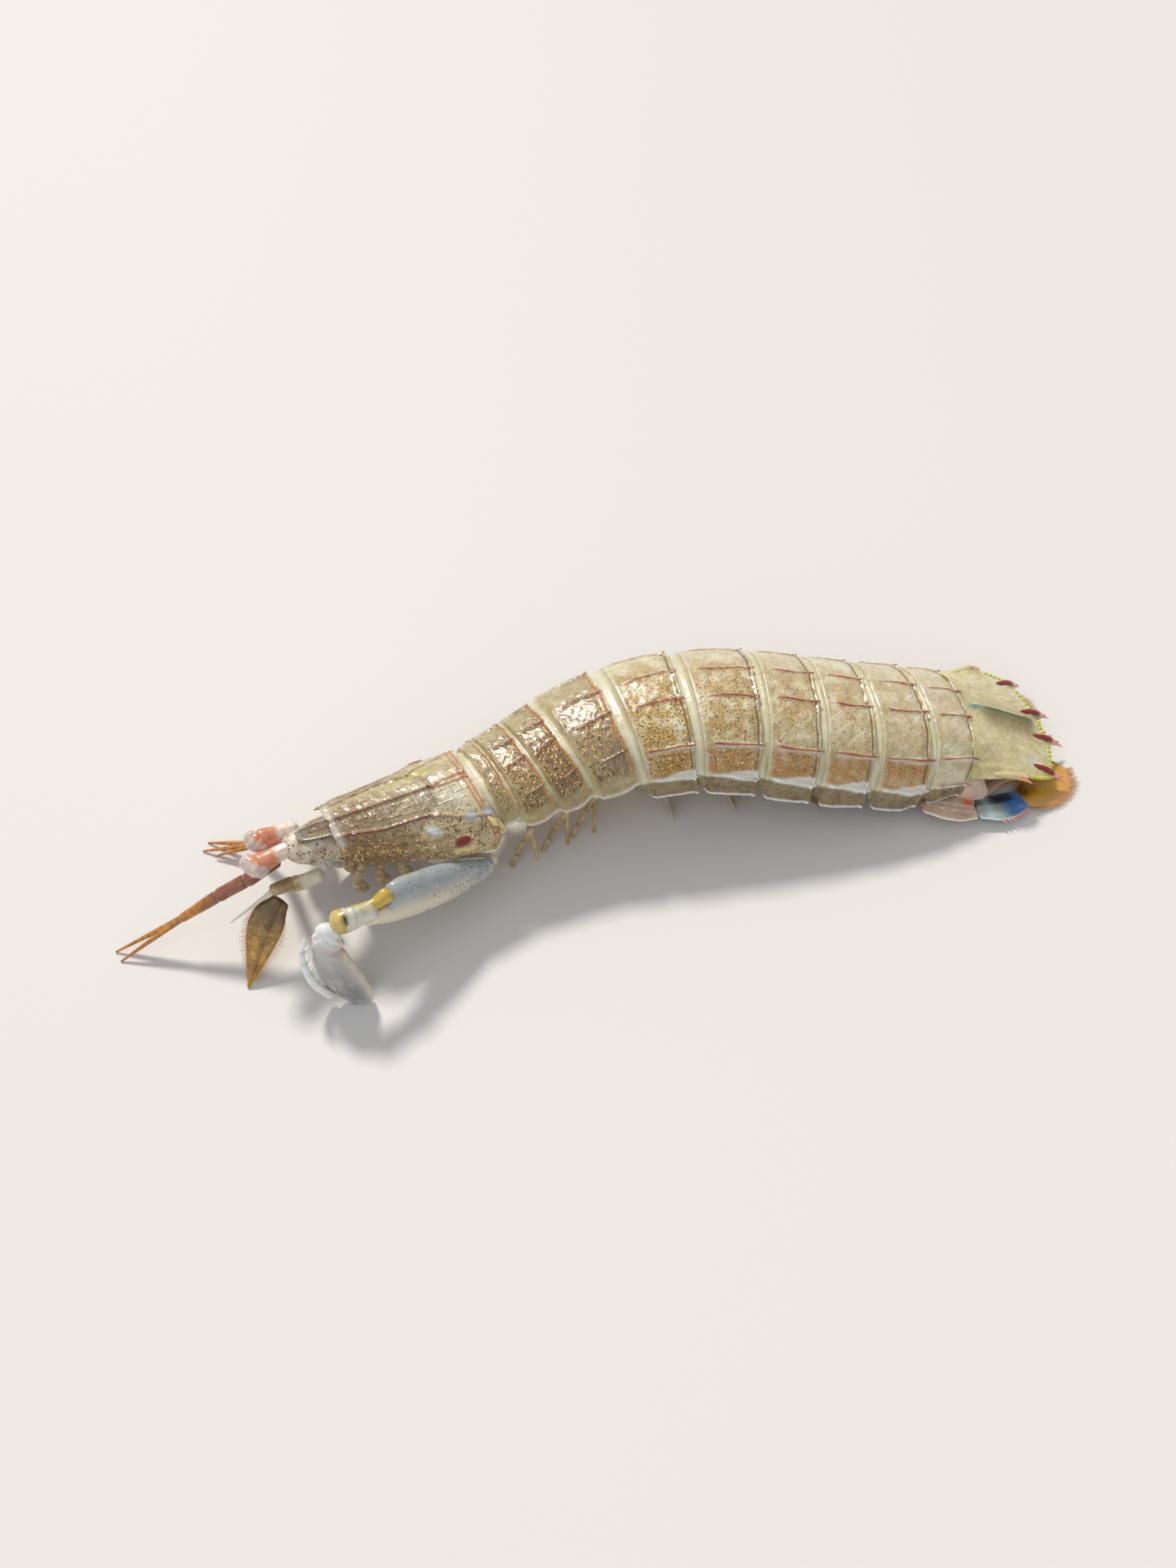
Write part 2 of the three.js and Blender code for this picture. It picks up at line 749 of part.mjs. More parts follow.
// Small folded limb of the mouth, with a rounded hand
function addMaxilliped(number, side) {
  const at = 4.4 + (number - 3) * 3.2;
  const left = side * 1.7;
  const points = [
    body(at, left * 0.8, -interpolate(CARAPACE, at, 'floor') - 1.3),
    body(at - 1.2, left * 1.05, -10.6),
    body(at - 1.6, left * 1.15, -12.4),
    body(at - 0.7, left * 1.1, -14.4),
  ];
  const geometry = limb({
    points,
    wide: [1.1, 1.2, 1.1, 1.3, 1.9, 1.5],
    deep: [1, 1.1, 1, 1.1, 1.4, 1.1],
    across: axesAt(at).tail,
    steps: 4,
  });
  addPart(`maxilliped_${number}_${sideName(side)}`, geometry, COLOURS.limb);
}

// Slender walking leg: a jointed leg down to the floor and a thin rod beside it
function addWalkingLeg(number, side) {
  const at = 26 + (number - 1) * 5.2;
  const belly = interpolate(GIRTH, at, 'depth') * 0.7 + 1.1;
  const knee = body(at - 0.4, side * 6.8, -belly - 2.2);
  const floor = (place, left) => {
    const point = body(place, left, 0);
    point.z = 0.1;
    return point;
  };
  const foot = floor(at - 2.6, side * 6);
  const rodEnd = floor(at + 0.2, side * 8.6);
  rodEnd.z = 2.6;
  const leg = limb({
    points: [body(at, side * 3.6, -belly), knee, knee.clone().lerp(foot, 0.45), foot],
    wide: [1.5, 1.4, 1.2, 1.1, 1, 0.9],
    deep: [1.4, 1.2, 1, 0.9, 0.8, 0.8],
    across: axesAt(at).tail,
  });
  const rod = limb({
    points: [knee, knee.clone().lerp(rodEnd, 0.5), rodEnd],
    wide: [0.8, 0.6],
    deep: [0.7, 0.6],
    across: axesAt(at).tail,
    sides: 4,
    steps: 2,
  });
  addPart(`walking_leg_${number}_${sideName(side)}`, onFloor(joined(leg, rod)), COLOURS.limb);
}

// Swimming limb: a short stem with two leaves that lean back and down to the floor
function addPleopod(number, side) {
  const ring = RINGS[3 + number];
  const at = ring.at + 5;
  const belly = interpolate(GIRTH, at, 'depth') * 0.7 + 0.9;
  const root = body(at, side * 4.4, -belly);
  const reach = 13.2;
  const fall = root.z;
  const run = Math.sqrt(Math.max(reach ** 2 - fall ** 2, 1));
  const { tail, left } = axesAt(at);
  const rearward = new Vector3(tail.x, tail.y, 0).normalize();
  const leafAt = (part, spread) => root.clone()
    .addScaledVector(rearward, run * part)
    .addScaledVector(left, side * spread)
    .add(new Vector3(0, 0, -fall * part));
  const leaf = (from, spread, length, wide) => limb({
    points: [leafAt(from, spread * 0.3), leafAt(0.5, spread), leafAt(length, spread * 1.25)],
    wide: [2, wide * 0.75, wide, wide * 0.95, wide * 0.5],
    deep: [1.3, 1, PLATE, PLATE, 0.6],
    across: left,
    steps: 4,
    rounded: false,
  });
  const geometry = onFloor(joined(leaf(0.1, -1.5, 0.9, 3.6), leaf(0, 1.7, 1, 4.4)));
  addPart(`pleopod_${number}_${sideName(side)}`, geometry, COLOURS.limb);
}

// Corners of half the tail plate: teeth stand out between rounded bays; x is across, y along
const TELSON_EDGE = [
  { across: 0, along: 1 },
  { across: 0.12, along: 1.05 },
  { across: 0.25, along: 1.165 },
  { across: 0.38, along: 1.04 },
  { across: 0.56, along: 0.98 },
  { across: 0.72, along: 0.95 },
  { across: 0.845, along: 1.035 },
  { across: 0.88, along: 0.9 },
  { across: 0.915, along: 0.74 },
  { across: 0.935, along: 0.61 },
  { across: 1, along: 0.545 },
  { across: 0.97, along: 0.4 },
  { across: 0.92, along: 0.2 },
  { across: 0.84, along: 0.05 },
  { across: 0.6, along: 0 },
  { across: 0.3, along: 0 },
];

// Tail plate: an arched plate with a raised middle crest and six teeth
function addTelson() {
  const origin = backPoint(TELSON_AT + 1.7 * GAP);
  const { tail, left, up } = axesOf(TELSON_HEADING);
  const half = TELSON_EDGE.map(({ across, along }) => (
    new Vector2(across * TELSON_HALF, along * TELSON_LENGTH)
  ));
  const mirrored = half.slice(1).map((point) => new Vector2(-point.x, point.y)).reverse();
  const crest = 0.9;
  const vault = 1.5;
  const heightAbove = (point) => {
    const across = Math.abs(point.x) / TELSON_HALF;
    const along = point.y / TELSON_LENGTH;
    const ridge = crest * Math.max(1 - across * 8, 0) * Math.sin(Math.PI * MathUtils.clamp(along, 0, 1));
    return ridge - vault * across ** 2 - 0.3 * along ** 3;
  };
  const heightBelow = (point, scale) => heightAbove(point) - 1.9 + 1.1 * scale ** 3;
  const geometry = plate(
    [...half, ...mirrored],
    new Vector2(0, TELSON_LENGTH * 0.5),
    heightAbove,
    heightBelow,
    (point, height) => origin.clone()
      .addScaledVector(left, point.x)
      .addScaledVector(tail, point.y)
      .addScaledVector(up, height),
  );
  addPart('telson', onFloor(geometry), COLOURS.tail);
}

// Tail fan of one side, low beside and under the tail plate
function addUropod(side) {
  const name = sideName(side);
  const origin = backPoint(TELSON_AT);
  const { tail, left } = axesOf({ yaw: TELSON_HEADING.yaw, pitch: 0, roll: 0 });
  const fan = (along, across, height) => {
    const point = origin.clone().addScaledVector(tail, along).addScaledVector(left, side * across);
    point.z = height;
    return point;
  };
  const level = left.clone();
  const stem = limb({
    points: [fan(-6.8, 12.2, 3.2), fan(-3, 13.2, 2.7), fan(0.8, 13.6, 2.1)],
    wide: [2.4, 3.2, 3],
    deep: [1.1, 1.4, 1.4],
    across: level,
    steps: 3,
  });
  const fork = limb({
    points: [fan(0.6, 12.4, 1.9), fan(4, 9.8, 1.6), fan(8, 7.6, 1.3), fan(12, 6.6, 0.9)],
    wide: [1.8, 1.7, 1.5, 1.1, 0.6],
    deep: [1.1, 1, 0.9, 0.8, 0.5],
    across: level,
  });
  const inner = limb({
    points: [fan(0.4, 12.2, 1.7), fan(3.4, 7.4, 1.3), fan(8, 4, 0.9), fan(12, 2.6, 0.7)],
    wide: [1.4, 2.4, 3.4, 3.4, 2],
    deep: [0.9, PLATE, PLATE, PLATE, 0.6],
    across: level,
  });
  const outer = limb({
    points: [fan(2.8, 13.5, 1.9), fan(5.6, 13.4, 1.5), fan(10.4, 12, 0.9), fan(16, 7.8, 0.25)],
    wide: [2.6, 3.4, 3.4, 2.8, 4, 4.2, 2.4],
    deep: [1.1, 1, 0.9, PLATE, PLATE, PLATE, 0.6],
    across: level,
    steps: 8,
  });
  addPart(`uropod_stem_${name}`, onFloor(joined(stem, fork, inner)), COLOURS.tail);
  addPart(`uropod_blade_${name}`, onFloor(outer), COLOURS.fan);
}

addCarapace();
addTrunk();
addHead();
addRostralPlate();
addBodyRings();
addTelson();
for (const side of [LEFT, RIGHT]) {
  addEye(side);
  addAntennule(side);
  addAntenna(side);
  addClaw(side);
  addUropod(side);
  for (let number = 3; number <= 5; number += 1) {
    addMaxilliped(number, side);
  }
  for (let number = 1; number <= 3; number += 1) {
    addWalkingLeg(number, side);
  }
  for (let number = 1; number <= 5; number += 1) {
    addPleopod(number, side);
  }
}

export default model;
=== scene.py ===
"""The looks of a life-size museum model of a mantis shrimp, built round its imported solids.

Lengths are in millimetres and angles in degrees unless a name says otherwise. Blender's metres are reached
where a mesh, a material or the camera is made. The head points to -X, the tail to +X, the left side to -Y.
"""

import logging
import math
from dataclasses import dataclass
from enum import Enum
from functools import cache
from typing import Any, Callable, Sequence

import bpy
import numpy as np
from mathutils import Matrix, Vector


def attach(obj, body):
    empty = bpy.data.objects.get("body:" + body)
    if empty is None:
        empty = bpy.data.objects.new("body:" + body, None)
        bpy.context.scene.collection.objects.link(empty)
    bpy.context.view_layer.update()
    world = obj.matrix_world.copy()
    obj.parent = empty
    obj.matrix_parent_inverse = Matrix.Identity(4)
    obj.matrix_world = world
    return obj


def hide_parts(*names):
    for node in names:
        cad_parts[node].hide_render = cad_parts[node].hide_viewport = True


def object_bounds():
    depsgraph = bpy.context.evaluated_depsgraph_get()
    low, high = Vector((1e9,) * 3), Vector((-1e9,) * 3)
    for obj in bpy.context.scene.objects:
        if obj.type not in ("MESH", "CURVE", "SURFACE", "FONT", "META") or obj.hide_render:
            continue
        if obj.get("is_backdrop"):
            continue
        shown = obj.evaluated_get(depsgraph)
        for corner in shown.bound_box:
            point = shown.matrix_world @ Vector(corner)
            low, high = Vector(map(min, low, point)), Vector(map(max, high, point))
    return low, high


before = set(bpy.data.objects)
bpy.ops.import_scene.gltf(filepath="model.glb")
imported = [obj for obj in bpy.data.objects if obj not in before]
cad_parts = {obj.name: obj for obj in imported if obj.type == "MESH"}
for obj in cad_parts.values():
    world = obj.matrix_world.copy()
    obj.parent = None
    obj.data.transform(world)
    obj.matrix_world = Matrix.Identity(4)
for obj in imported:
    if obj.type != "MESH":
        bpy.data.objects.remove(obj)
CAD_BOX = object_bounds()

LOG = logging.getLogger("mantis_shrimp")
MM = 0.001
# Middle of the model in the space that places are written in
CENTRE = np.array([4.5, -2.0, 0.0])
# Exponent of a body ring's section, a little boxier than an ellipse
ROUNDNESS = 2.3
# Places along the back of the edges of the six abdomen rings, and of the tail plate's front edge
ABDOMEN_EDGES = (42.45, 53.55, 64.95, 74.05, 82.35, 91.35, 99.35)
TELSON_START = 99.86
# Which way the tail plate and the fan run, seen from above
TAIL_YAW = 9.5
# Where a closed limb's rounded end has its rings, as angles from its tip
CAP_ANGLES = np.radians([8, 30, 52, 72, 90])
# Points of one fringe hair
HAIR_POINTS = 9
# Indices of refraction
CHITIN_IOR = 1.5
WATER_IOR = 1.33
# A film of water is nearly smooth
WATER_ROUGHNESS = 0.09
# How far red, green and blue light travel in chitin; red goes furthest, which warms thin edges
GLOW_REACH = (1.0, 0.75, 0.5)
UP = np.array([0.0, 0.0, 1.0])
Array = np.ndarray
Mask = Callable[[Array, Array], Array]


class Side(Enum):
    """A side of the animal; its value is the sign of its offsets from the line of the back."""

    LEFT = 1
    RIGHT = -1

    @property
    def word(self) -> str:
        """Name of the side as the nodes spell it."""
        return self.name.lower()

    def make(self, name: str, surface: "Surface", finish: "Shell", node: str) -> None:
        """Make a piece of this side, which stands for a node of this side."""
        make_piece(f"{name}_{self.word}", surface, finish, [f"{node}_{self.word}"])


def linear(hex_colour: str) -> tuple[float, float, float, float]:
    """Turn an sRGB colour into linear light.

    Args:
        hex_colour: six hex digits after a hash sign.

    Returns:
        Red, green, blue and an alpha of one.
    """
    parts = [int(hex_colour[i:i + 2], 16) / 255 for i in (1, 3, 5)]
    red, green, blue = (c / 12.92 if c <= 0.04045 else ((c + 0.055) / 1.055) ** 2.4 for c in parts)
    return red, green, blue, 1.0


def rise(x: Array, low: float, high: float) -> Array:
    """Smooth step from 0 at low to 1 at high; it falls instead where low is the larger."""
    part = np.clip((np.asarray(x, float) - low) / (high - low), 0, 1)
    return part * part * (3 - 2 * part)


def hump(x: Array, middle: float | Array, width: float | Array) -> Array:
    """Bell curve of height 1."""
    return np.exp(-(((np.asarray(x, float) - middle) / width) ** 2))


def unit(vectors: Array) -> Array:
    """Vectors scaled to length 1."""
    return vectors / np.maximum(np.linalg.norm(vectors, axis=-1, keepdims=True), 1e-9)


def waver(points: Array, size: float, seed: float = 0.0) -> Array:
    """Gentle unevenness between -1 and 1, from a few crossed waves.

    Args:
        points: places in space.
        size: length of the longest wave.
        seed: shifts the waves.

    Returns:
        One value for each point.
    """
    waves = 4
    total = np.zeros(points.shape[:-1])
    for wave in range(waves):
        way = np.array([
            math.sin(2.1 * wave + seed), math.cos(1.3 * wave + seed), math.sin(0.7 * wave + 1 + seed)])
        total += np.sin(points @ way * (2 * math.pi / size) * (1 + 0.37 * wave) + 1.9 * wave)
    return total / waves


def even(share: float) -> Mask:
    """Mask of a limb that has the same value all over."""
    return lambda part, turn: share + 0 * part


def spot(x: float, y: float, z: float) -> Array:
    """A place in the model's own space."""
    return np.array([x, y, z])


@dataclass(frozen=True)
class Track:
    """Columns of values against a distance, joined by straight lines.

    Attributes:
        rows: each a distance with its values.
    """

    rows: tuple[tuple[float, ...], ...]

    def __call__(self, at: Array | float, column: int = 1) -> Array:
        """Values of one column at these distances."""
        table = np.array(self.rows)
        return np.interp(at, table[:, 0], table[:, column])


# Along the back: half width of a ring, and its height above its widest level
GIRTH = Track((
    (20, 7.1, 6.6), (24, 9, 7.4), (33, 10.4, 8.6), (43, 11.8, 9.3), (54, 12.4, 9.9),
    (66, 12.8, 10.7), (76, 13, 11.3), (90, 13, 11), (99, 11.6, 8),
))
# Along the back: half width of the shield, its fall at the sides, and the depth of the belly under it
CARAPACE = Track(((-1, 5.5, 2.7, 6.4), (6, 7.1, 3.9, 7.6), (14, 9, 5.3, 8.3), (22, 9.8, 6.2, 8.4)))


class BackLine:
    """The line of the back, from the front edge of the carapace to the tail, with its directions.

    Attributes:
        start: its first point.
        step: length of its short steps.
        length: of the whole line.
        bends: yaw, pitch and roll at places along it.
    """

    start = np.array([-34.6, -15.3, 18.5])
    step = 0.25
    length = 120.0
    bends = Track((
        (0, 29, -6.5, 0), (20, 29.5, -3, 0), (27, 32, 6.5, 0), (33, 31.5, 12, 0), (39, 25, 10.5, 0),
        (46, 17, 5.5, 0), (54, 10.5, 0, 0), (62, 5, -6, 0), (70, 3, -11, 0), (82, 5, -13, 0),
        (95, 8.5, -16.5, -2), (101, 10, -25, -4),
    ))

    def __init__(self) -> None:
        """Add up the short steps of the line."""
        self.places = np.arange(0, self.length + self.step, self.step)
        tails = self.axes(self.places[:-1] + self.step / 2)[0]
        self.points = np.vstack([self.start, self.start + np.cumsum(tails * self.step, axis=0)])

    @staticmethod
    def heading(yaw: Array, pitch: Array, roll: Array) -> tuple[Array, Array, Array]:
        """Directions for a heading.

        Args:
            yaw: turn about the vertical.
            pitch: rise towards the tail.
            roll: lean that lifts the left side.

        Returns:
            Unit vectors to the tail, to the left side and up from the back.
        """
        turn, climb, lean = (np.radians(np.asarray(a, float)) for a in (yaw, pitch, roll))
        tail = np.stack([np.cos(turn) * np.cos(climb), np.sin(turn) * np.cos(climb), np.sin(climb)], -1)
        level = np.stack([np.sin(turn), -np.cos(turn), 0 * turn], -1)
        left = level * np.cos(-lean)[..., None] + np.cross(tail, level) * np.sin(-lean)[..., None]
        return tail, left, np.cross(left, tail)

    def axes(self, at: Array | float) -> tuple[Array, Array, Array]:
        """Directions to the tail, the left and up at these places along the back."""
        return self.heading(*(self.bends(at, column) for column in (1, 2, 3)))

    def point(self, at: Array | float) -> Array:
        """Points of the line; in front of its start it runs on straight.

        Args:
            at: places along the back.

        Returns:
            A point for each place.
        """
        at = np.asarray(at, float)
        on_line = np.stack([np.interp(at, self.places, self.points[:, k]) for k in range(3)], -1)
        return on_line + np.minimum(at, 0)[..., None] * self.axes(0.0)[0]

    def beside(self, at: Array | float, left: Array | float, up: Array | float) -> Array:
        """Points beside the line, to the left of it and above it."""
        _, to_left, upward = self.axes(at)
        return self.point(at) + np.asarray(left)[..., None] * to_left + np.asarray(up)[..., None] * upward


BACK = BackLine()


def smooth_line(points: Sequence[Array], count: int) -> Array:
    """Evenly spaced points on a smooth curve through the given ones.

    Args:
        points: places that the curve passes through.
        count: number of points wanted.

    Returns:
        The points of the curve.
    """
    knots = np.array(points, float)
    padded = np.vstack([2 * knots[0] - knots[1], knots, 2 * knots[-1] - knots[-2]])
    pieces = []
    for i in range(len(knots) - 1):
        a, b, c, d = padded[i:i + 4]
        t = np.linspace(0, 1, 40)[:, None]
        bend, twist = 2 * a - 5 * b + 4 * c - d, 3 * b - a - 3 * c + d
        pieces.append(0.5 * (2 * b + (c - a) * t + bend * t**2 + twist * t**3))
    dense = np.vstack(pieces)
    run = np.concatenate([[0], np.cumsum(np.linalg.norm(np.diff(dense, axis=0), axis=1))])
    wanted = np.linspace(0, run[-1], count)
    return np.stack([np.interp(wanted, run, dense[:, k]) for k in range(3)], -1)


def spread(sizes: Sequence[float], part: Array) -> Array:
    """Sizes along a piece, with the corners between the given ones rounded off.

    Args:
        sizes: evenly spaced along the piece.
        part: places along it, from 0 to 1.

    Returns:
        A size for each place.
    """
    knots = np.linspace(0, 1, len(sizes))
    near = [np.interp(np.clip(part + shift, 0, 1), knots, sizes) for shift in (-0.04, 0, 0.04)]
    return sum(near) / len(near)


@dataclass
class Surface:
    """Points of a mesh with its faces and its masks.

    Attributes:
        points: places in space.
        faces: four point numbers each; a triangle repeats one of them.
        masks: values for each point, by name.
    """

    points: Array
    faces: Array
    masks: dict[str, Array]

    @staticmethod
    def together(parts: Sequence["Surface"]) -> "Surface":
        """Join several surfaces into one.

        Args:
            parts: surfaces to join.

        Returns:
            One surface; a mask that a part lacks is zero on it.
        """
        names = sorted({name for part in parts for name in part.masks})
        starts = np.cumsum([0] + [len(part.points) for part in parts[:-1]])
        masks = {
            name: np.concatenate([part.masks.get(name, np.zeros(len(part.points))) for part in parts])
            for name in names
        }
        faces = np.vstack([part.faces + start for part, start in zip(parts, starts)])
        return Surface(np.vstack([part.points for part in parts]), faces, masks)


def grid_quads(rows: int, columns: int, closed: bool = False) -> Array:
    """Faces of a grid of points.

    Args:
        rows: number of rows.
        columns: points in a row.
        closed: whether a row's end joins its start.

    Returns:
        Four point numbers for each face.
    """
    row, column = np.meshgrid(np.arange(rows - 1), np.arange(columns - (not closed)), indexing="ij")
    following = (column + 1) % columns
    quads = [row * columns + column, row * columns + following]
    quads += [(row + 1) * columns + following, (row + 1) * columns + column]
    return np.stack([q.ravel() for q in quads], -1)


def grid_normals(points: Array) -> Array:
    """Unit normals of a grid of points."""
    return unit(np.cross(np.gradient(points, axis=0), np.gradient(points, axis=1)))


def sheet(outside: Array, thickness: Array | float, masks: dict[str, Array], inward: float = 1.0,
          way: Array | None = None) -> Surface:
    """Closed thin shell under a grid of outside points.

    Args:
        outside: rows of points.
        thickness: of the shell, at each point or everywhere.
        masks: values at the outside points.
        inward: 1 or -1, which way along the grid's normals the inside lies.
        way: direction to the inside, where the normals are not to be used.

    Returns:
        The closed surface.
    """
    rows, columns = outside.shape[:2]
    size = rows * columns
    depth = np.broadcast_to(np.asarray(thickness, float), (rows, columns))[..., None]
    inside = outside + (grid_normals(outside) * inward if way is None else way) * depth
    quads, turned = grid_quads(rows, columns), grid_quads(rows, columns)[:, ::-1]
    upper, lower = (turned, quads) if inward > 0 else (quads, turned)
    number = np.arange(size).reshape(rows, columns)
    loop = np.concatenate([number[0], number[1:, -1], number[-1, -2::-1], number[-2:0:-1, 0]])
    following = np.roll(loop, -1)
    rim = np.stack([following, loop, loop + size, following + size], -1)
    points = np.vstack([outside.reshape(-1, 3), inside.reshape(-1, 3)])
    doubled = {
        name: np.tile(np.broadcast_to(mask, (rows, columns)).ravel(), 2) for name, mask in masks.items()}
    return Surface(points, np.vstack([upper, lower + size, rim]), doubled)


def capped(grid: Array, masks: dict[str, Array]) -> Surface:
    """Closed surface of a row of rings.

    Args:
        grid: the rings' points, a ring in each row.
        masks: values at those points.

    Returns:
        The surface, closed by a fan at either end, its faces outward.
    """
    rows, columns = grid.shape[:2]
    size, here, last = rows * columns, np.arange(columns), (rows - 1) * columns
    following = (here + 1) % columns
    fans = [
        np.stack([following, here] + [np.full(columns, size)] * 2, -1),
        np.stack([here + last, following + last] + [np.full(columns, size + 1)] * 2, -1),
    ]
    points = np.vstack([grid.reshape(-1, 3), grid[[0, -1]].mean(axis=1)])
    faces = outward_faces(points, np.vstack([grid_quads(rows, columns, closed=True), *fans]))
    values = {
        name: np.clip(np.append(mask.ravel(), mask[[0, -1]].mean(axis=1)), 0, 1)
        for name, mask in masks.items()
    }
    return Surface(points, faces, values)


def section_axes(line: Array, across: Array) -> tuple[Array, Array, Array]:
    """Directions of a limb's sections.

    Args:
        line: points of its middle line.
        across: the way its broad face runs.

    Returns:
        The way along the limb, the broad way and the narrow way at each point.
    """
    along = unit(np.gradient(line, axis=0))
    normal = unit(np.cross(along, np.broadcast_to(across, along.shape)))
    return along, np.cross(normal, along), normal


@dataclass
class Limb:
    """A jointed or leaf-like limb: sizes along a smooth line, rounded at its ends.

    Attributes:
        points: places that its middle line passes through.
        wide: sizes across the broad face, evenly spaced along it.
        deep: sizes through it, evenly spaced along it.
        across: the way its broad face runs.
        sides: points round a section.
        steps: sections along it.
        power: exponent of the section, 2 for an ellipse and more for a boxier one.
        carve: extra factor on the section's size, from the part along it and the angle round it.
        rounded: whether its ends are rounded, not cut off.
    """

    points: Sequence[Array]
    wide: Sequence[float]
    deep: Sequence[float]
    across: Array
    sides: int = 24
    steps: int = 48
    power: float = 2.0
    carve: Mask | None = None
    rounded: bool = True

    def surface(self, masks: dict[str, Mask] | None = None) -> Surface:
        """Closed surface of the limb.

        Args:
            masks: for each mask a function of the part along the limb and the angle round it.

        Returns:
            The surface, with a mask called along that runs from 0 to 1.
        """
        line = smooth_line(self.points, self.steps)
        tangent, side, normal = section_axes(line, self.across)
        part = np.linspace(0, 1, self.steps)
        wide, deep = spread(self.wide, part), spread(self.deep, part)
        caps = np.sin(CAP_ANGLES) if self.rounded else np.array([0.02, 1])
        reach = (np.cos(CAP_ANGLES) if self.rounded else np.array([0.01, 0])) / 2.4
        between = np.arange(1, self.steps - 1)
        index = np.concatenate([0 * caps, between, 0 * caps + self.steps - 1]).astype(int)
        scale = np.concatenate([caps, np.ones(len(between)), caps[::-1]])
        shift = np.concatenate([-reach * deep[0], np.zeros(len(between)), reach[::-1] * deep[-1]])
        angle = np.linspace(0, 2 * math.pi, self.sides, endpoint=False)
        rows, turns = np.meshgrid(part[index], angle, indexing="ij")
        cosine, sine = np.cos(turns), np.sin(turns)
        bulge = (np.abs(cosine) ** self.power + np.abs(sine) ** self.power) ** (-1 / self.power)
        if self.carve:
            bulge = bulge * self.carve(rows, turns)
        x = (wide[index] * scale / 2)[:, None] * cosine * bulge
        y = (deep[index] * scale / 2)[:, None] * sine * bulge
        middle = line[index] + tangent[index] * shift[:, None]
        grid = middle[:, None] + x[..., None] * side[index][:, None] + y[..., None] * normal[index][:, None]
        values = {name: mask(rows, turns) for name, mask in (masks or {}).items()}
        return capped(grid, {"along": rows, **values})

    def edge(self, sign: int, start: float = 0.0, end: float = 1.0) -> tuple[Array, Array]:
        """One edge of the limb's broad face.

        Args:
            sign: 1 for the edge on the side that across points to, -1 for the other.
            start: part of the length where it begins.
            end: part where it ends.

        Returns:
            Points of the edge, and the directions that lead out from it.
        """
        line = smooth_line(self.points, self.steps)
        tangent, side, _ = section_axes(line, self.across)
        part = np.linspace(0, 1, self.steps)
        wide = spread(self.wide, part)[:, None]
        lean = np.interp(part, [0, 0.6, 1], [0.5, 0.7, 1.6])[:, None]
        shown = (part >= start) & (part <= end)
        return (line + side * sign * wide * 0.49)[shown], unit(side * sign + tangent * lean)[shown]


@dataclass
class Fringe:
    """A row of fine hairs that stand out from an edge.

    Attributes:
        edge: points of the edge, in order.
        outward: which way the hairs point at each of those points.
        lengths: of the hairs along the edge, evenly spaced.
        spacing: between two hairs.
        girth: thickness at the root; the real hair, 0.02 mm, is too fine to show.
    """

    edge: Array
    outward: Array
    lengths: Sequence[float]
    spacing: float = 0.16
    girth: float = 0.09

    def surface(self) -> Surface:
        """All the hairs, each a three-sided spike that tapers.

        Returns:
            The hairs, with masks of the part along each and of its root's place on the edge.
        """
        run = np.concatenate([[0], np.cumsum(np.linalg.norm(np.diff(self.edge, axis=0), axis=1))])
        count = max(int(run[-1] / self.spacing), 4)
        random = np.random.default_rng(count)
        where = np.linspace(0, run[-1], count)
        roots = np.stack([np.interp(where, run, self.edge[:, k]) for k in range(3)], -1)
        ways = unit(np.stack([np.interp(where, run, self.outward[:, k]) for k in range(3)], -1))
        ways = unit(ways + random.normal(0, 0.07, ways.shape))
        lengths = np.interp(where / run[-1], np.linspace(0, 1, len(self.lengths)), self.lengths)
        lengths = lengths * random.uniform(0.8, 1.1, count)
        side = unit(np.cross(ways, UP))
        other = np.cross(side, ways)
        rings = []
        for part, width in ((-0.08, 1.0), (0.45, 0.75), (1.0, 0.12)):
            middle = roots + ways * (lengths * part)[:, None]
            for turn in range(3):
                angle = 2 * math.pi * turn / 3
                offset = side * math.cos(angle) + other * math.sin(angle)
                rings.append(middle + offset * self.girth / 2 * width)
        points = np.stack(rings, 1).reshape(-1, 3)
        pattern = [
            [r + k, r + (k + 1) % 3, r + 3 + (k + 1) % 3, r + 3 + k] for r in (0, 3) for k in range(3)]
        pattern += [[2, 1, 0, 0], [6, 7, 8, 8]]
        starts = HAIR_POINTS * np.arange(count)[:, None, None]
        along = np.tile(np.repeat([0, 0.45, 1], 3), count)
        masks = {"along": along, "root": np.repeat(where / run[-1], HAIR_POINTS)}
        return Surface(points, (np.array(pattern)[None] + starts).reshape(-1, 4), masks)

    @classmethod
    def both_edges(cls, limb: Limb, start: float, end: float, lengths: Sequence[float],
                   **sizes: float) -> list[Surface]:
        """Hairs on both edges of a leaf, from one part of its length to another."""
        return [cls(*limb.edge(sign, start, end), lengths, **sizes).surface() for sign in (-1, 1)]


def outward_faces(points: Array, faces: Array) -> Array:
    """Turn faces so that they point outward.

    Args:
        points: of a closed surface.
        faces: four point numbers each, all turned alike.

    Returns:
        The faces, turned so that the surface's volume is positive.
    """
    a, b, c, d = (points[faces[:, k]] for k in range(4))
    volume = np.einsum("ij,ij->", a, np.cross(b, c)) + np.einsum("ij,ij->", a, np.cross(c, d))
    return faces[:, ::-1] if volume < 0 else faces


